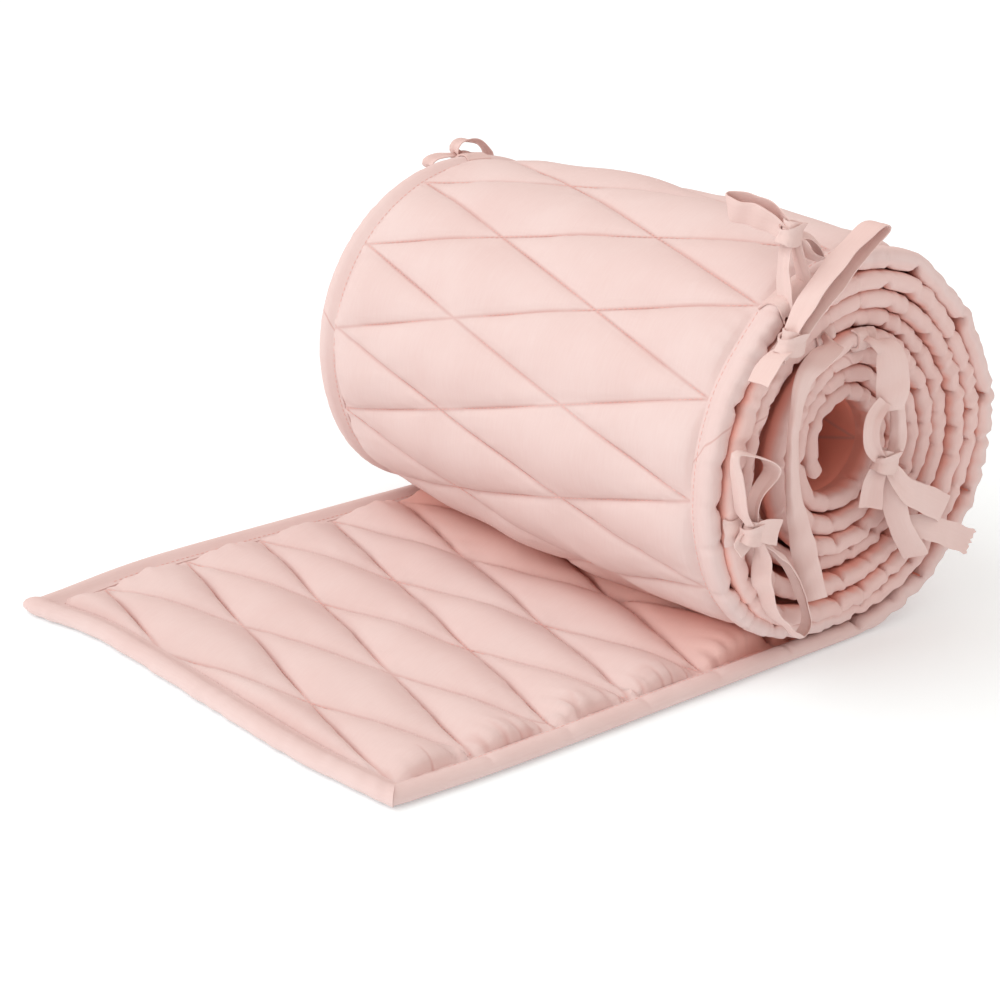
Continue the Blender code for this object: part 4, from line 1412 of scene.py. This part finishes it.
@dataclass
class Stitching:
    """Rows of small thread stitches laid in the seams, where they show."""

    winding: Winding
    panel: QuiltedPanel
    folds: Sequence[LongBinding]
    stitch: float = 0.0023
    spacing: float = 0.0031
    slant_share: float = 0.966
    thickness: float = 0.00042
    proud: float = 0.00012
    edge_place: float = 0.86
    inset: float = 0.003
    rows: range = range(-1, 21)
    tail_end: float = 0.30
    roll_ends: Range = (0.26, 0.95)

    def capsule(self) -> tuple[Array, Array]:
        """Corners and faces of one stitch, long along its first axis, from a thin turned shape."""
        bm = bmesh.new()
        bmesh.ops.create_uvsphere(bm, u_segments=5, v_segments=4, radius=1.0)
        bmesh.ops.triangulate(bm, faces=bm.faces[:])
        bm.verts.index_update()
        corners = np.array([vert.co[:] for vert in bm.verts])[:, (2, 0, 1)]
        faces = np.array([[vert.index for vert in face.verts] for face in bm.faces])
        bm.free()
        return corners, faces

    def stretches(self, start: float) -> tuple[tuple[int, float, float], ...]:
        """Way, start and end of the tail's upper face and of the roll's outer face."""
        return (1, start, self.tail_end), (-1, *self.roll_ends)

    def quilting(self) -> Iterator[tuple[Array, Array, Array, int]]:
        """Rows (x, s, height, way) along the stitch lines."""
        roll, half = self.winding, self.panel.width / 2
        x = np.arange(-half + self.inset, half - self.inset, self.spacing * self.slant_share)
        over = self.panel.across * (x / self.panel.width + 0.5)
        for slant in (1, -1):
            for number in self.rows:
                s = roll.first_diamond + (number + slant * over) * roll.pitch
                for way, low, high in self.stretches(roll.band + 0.002):
                    kept = (s > low) & (s < high)
                    if kept.sum() > 2:
                        up, down = self.panel.heights(x[kept], s[kept])
                        yield x[kept], s[kept], up if way > 0 else down, way

    def edging(self) -> Iterator[tuple[Array, Array, Array, int]]:
        """Rows (x, s, height, way) along the long bindings' inner edges."""
        for fold in self.folds:
            for way, low, high in self.stretches(3 * self.winding.band):
                s = np.arange(low, high, self.spacing)
                u, h = fold.section(np.full(len(s), way * self.edge_place), s)
                yield fold.end.value * (self.winding.height / 2 - u), s, h, way

    def build(self, material: Material) -> bpy.types.Object:
        """Make all the stitches as one mesh."""
        corners, faces = self.capsule()
        sizes = np.array((self.stitch, self.thickness, self.thickness))[:, None] / 2
        points, indices, start = [], [], 0
        for x, s, h, way in chain(self.quilting(), self.edging()):
            middle = self.winding.place(x, s, h + way * self.proud)
            ways = unit(np.gradient(middle, axis=0))
            lift = unit(self.winding.place(x, s, h + way * (self.proud + MM / 10)) - middle)
            for place, *axes in zip(middle, ways, np.cross(lift, ways), lift):
                points.append(place + corners @ (np.stack(axes) * sizes))
                indices.append(faces + start)
                start += len(corners)
        mesh = bpy.data.meshes.new("quilting_stitches")
        mesh.from_pydata(np.concatenate(points).tolist(), [], np.concatenate(indices).tolist())
        mesh.materials.append(material)
        return settle(mesh, "quilting_stitches")


# ---------------------------------------------------------------- the stage

@dataclass
class Sun:
    """A soft light from far away: where it shines from, how wide it looks in degrees, and its strength."""

    name: str
    way: Triple
    width: float
    strength: float
    colour: Triple = (0.97, 1.0, 1.0)

    def build(self) -> None:
        """Light the scene with it."""
        data = bpy.data.lights.new(self.name, "SUN")
        data.angle = math.radians(self.width)
        data.energy = self.strength
        data.color = self.colour
        turned = Vector(self.way).to_track_quat("Z", "Y").to_matrix()
        put(self.name, data).matrix_world = turned.to_4x4()


@dataclass
class Studio:
    """The pale floor, the soft lights and the camera."""

    camera_place: Triple = (0.828534, -0.712743, 0.475329)
    azimuth: float = 49.51
    elevation: float = 21.04
    roll: float = 1.05
    lens: float = 82.08
    floor_size: float = 60.0
    floor_colour: Triple = (0.88, 0.97, 1.0)
    floor_glow: float = 0.14
    sky: Triple = (1.0, 0.885, 0.83)
    sky_strength: float = 0.62
    lights: tuple[Sun, ...] = (
        Sun("key", (-0.42, -0.66, 0.62), 60.0, 0.80),
        Sun("top", (0.0, 0.0, 1.0), 90.0, 0.26),
        Sun("fill", (0.22, -0.88, 0.42), 50.0, 0.23),
    )

    def axes(self) -> tuple[Vector, Vector, Vector]:
        """The camera's right, up and back directions."""
        a, e, r = (math.radians(v) for v in (self.azimuth, self.elevation, self.roll))
        back = Vector((math.sin(a) * math.cos(e), -math.cos(a) * math.cos(e), math.sin(e)))
        right = Vector((0.0, 0.0, 1.0)).cross(back).normalized()
        up = back.cross(right)
        return right * math.cos(r) + up * math.sin(r), up * math.cos(r) - right * math.sin(r), back

    def camera(self) -> None:
        """Set the camera at the photo's angle."""
        data = bpy.data.cameras.new("camera")
        data.lens = self.lens
        data.sensor_width = 36.0
        thing = put("camera", data)
        turned = Matrix(self.axes()).transposed().to_4x4()
        thing.matrix_world = Matrix.Translation(self.camera_place) @ turned
        bpy.context.scene.camera = thing

    def floor(self) -> None:
        """A plain pale floor."""
        bm = bmesh.new()
        bmesh.ops.create_grid(bm, x_segments=1, y_segments=1, size=self.floor_size / 2)
        mesh = mesh_from(bm, "floor")
        graph = Graph("floor_white")
        graph.surface(Base_Color=(*self.floor_colour, 1.0), Roughness=0.9, Specular_IOR_Level=0.1,
                      Emission_Color=(1.0, 1.0, 1.0, 1.0), Emission_Strength=self.floor_glow)
        mesh.materials.append(graph.material)
        put("floor", mesh)

    def build(self) -> None:
        """Set up the whole stage."""
        self.camera()
        self.floor()
        world = bpy.data.worlds.new("studio")
        world.use_nodes = True
        background = world.node_tree.nodes["Background"]
        background.inputs["Color"].default_value = (*self.sky, 1.0)
        background.inputs["Strength"].default_value = self.sky_strength
        bpy.context.scene.world = world
        for light in self.lights:
            light.build()
        bpy.context.scene.view_settings.view_transform = "Standard"
        bpy.context.scene.view_settings.look = "Medium High Contrast"


# ---------------------------------------------------------------- main

def report(thing: bpy.types.Object, slot: str, *nodes: str) -> bpy.types.Object:
    """Let a piece ride on the part and stand for its nodes."""
    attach(thing, "root")
    if nodes:
        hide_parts(*nodes)
    LOG.info("%s: %d faces", thing.name, len(thing.data.polygons))
    return thing


def main() -> None:
    """Build every piece in order."""
    logging.basicConfig(level=logging.INFO, format="%(name)s: %(message)s")
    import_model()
    Studio().build()
    quilted = QuiltedCotton("quilted_cotton_cloth", (0.805, 0.650, 0.630)).material()
    bias = BiasCotton("bias_cotton_cloth", (0.805, 0.645, 0.625)).material()
    tape = Cotton("tape_cotton_cloth", (0.815, 0.635, 0.605), thread=0.0006).material()
    thread = Thread().material()

    roll = Winding()
    panel = QuiltedPanel(roll)
    cloth = report(panel.build(quilted), "quilted_cotton", "quilted_panel")

    near = LongBinding(roll, spread=0.0006)
    far = LongBinding(roll, end=End.FAR, spread=0.0004, lying=0.0028, calm=0.2, sunk=0.0014,
                      shaded=0.25, warm=0.0)
    for fold, node in ((near, "binding_right"), (far, "binding_left")):
        thing = report(fold.build(bias), "bias_cotton", node)
    for at_tail, node in ((True, "binding_tail"), (False, "binding_core")):
        thing = report(ShortBinding(roll, at_tail=at_tail).build(bias), "bias_cotton", node)

    folds = {End.NEAR: near, End.FAR: far}
    for tie in TIES:
        thing = report(tie.build(folds[tie.end], tape), "tape_cotton", tie.node)
        tie.flat_length()

    report(Stitching(roll, panel, (near, far)).build(thread), "quilted_cotton")


if __name__ == "__main__":
    main()
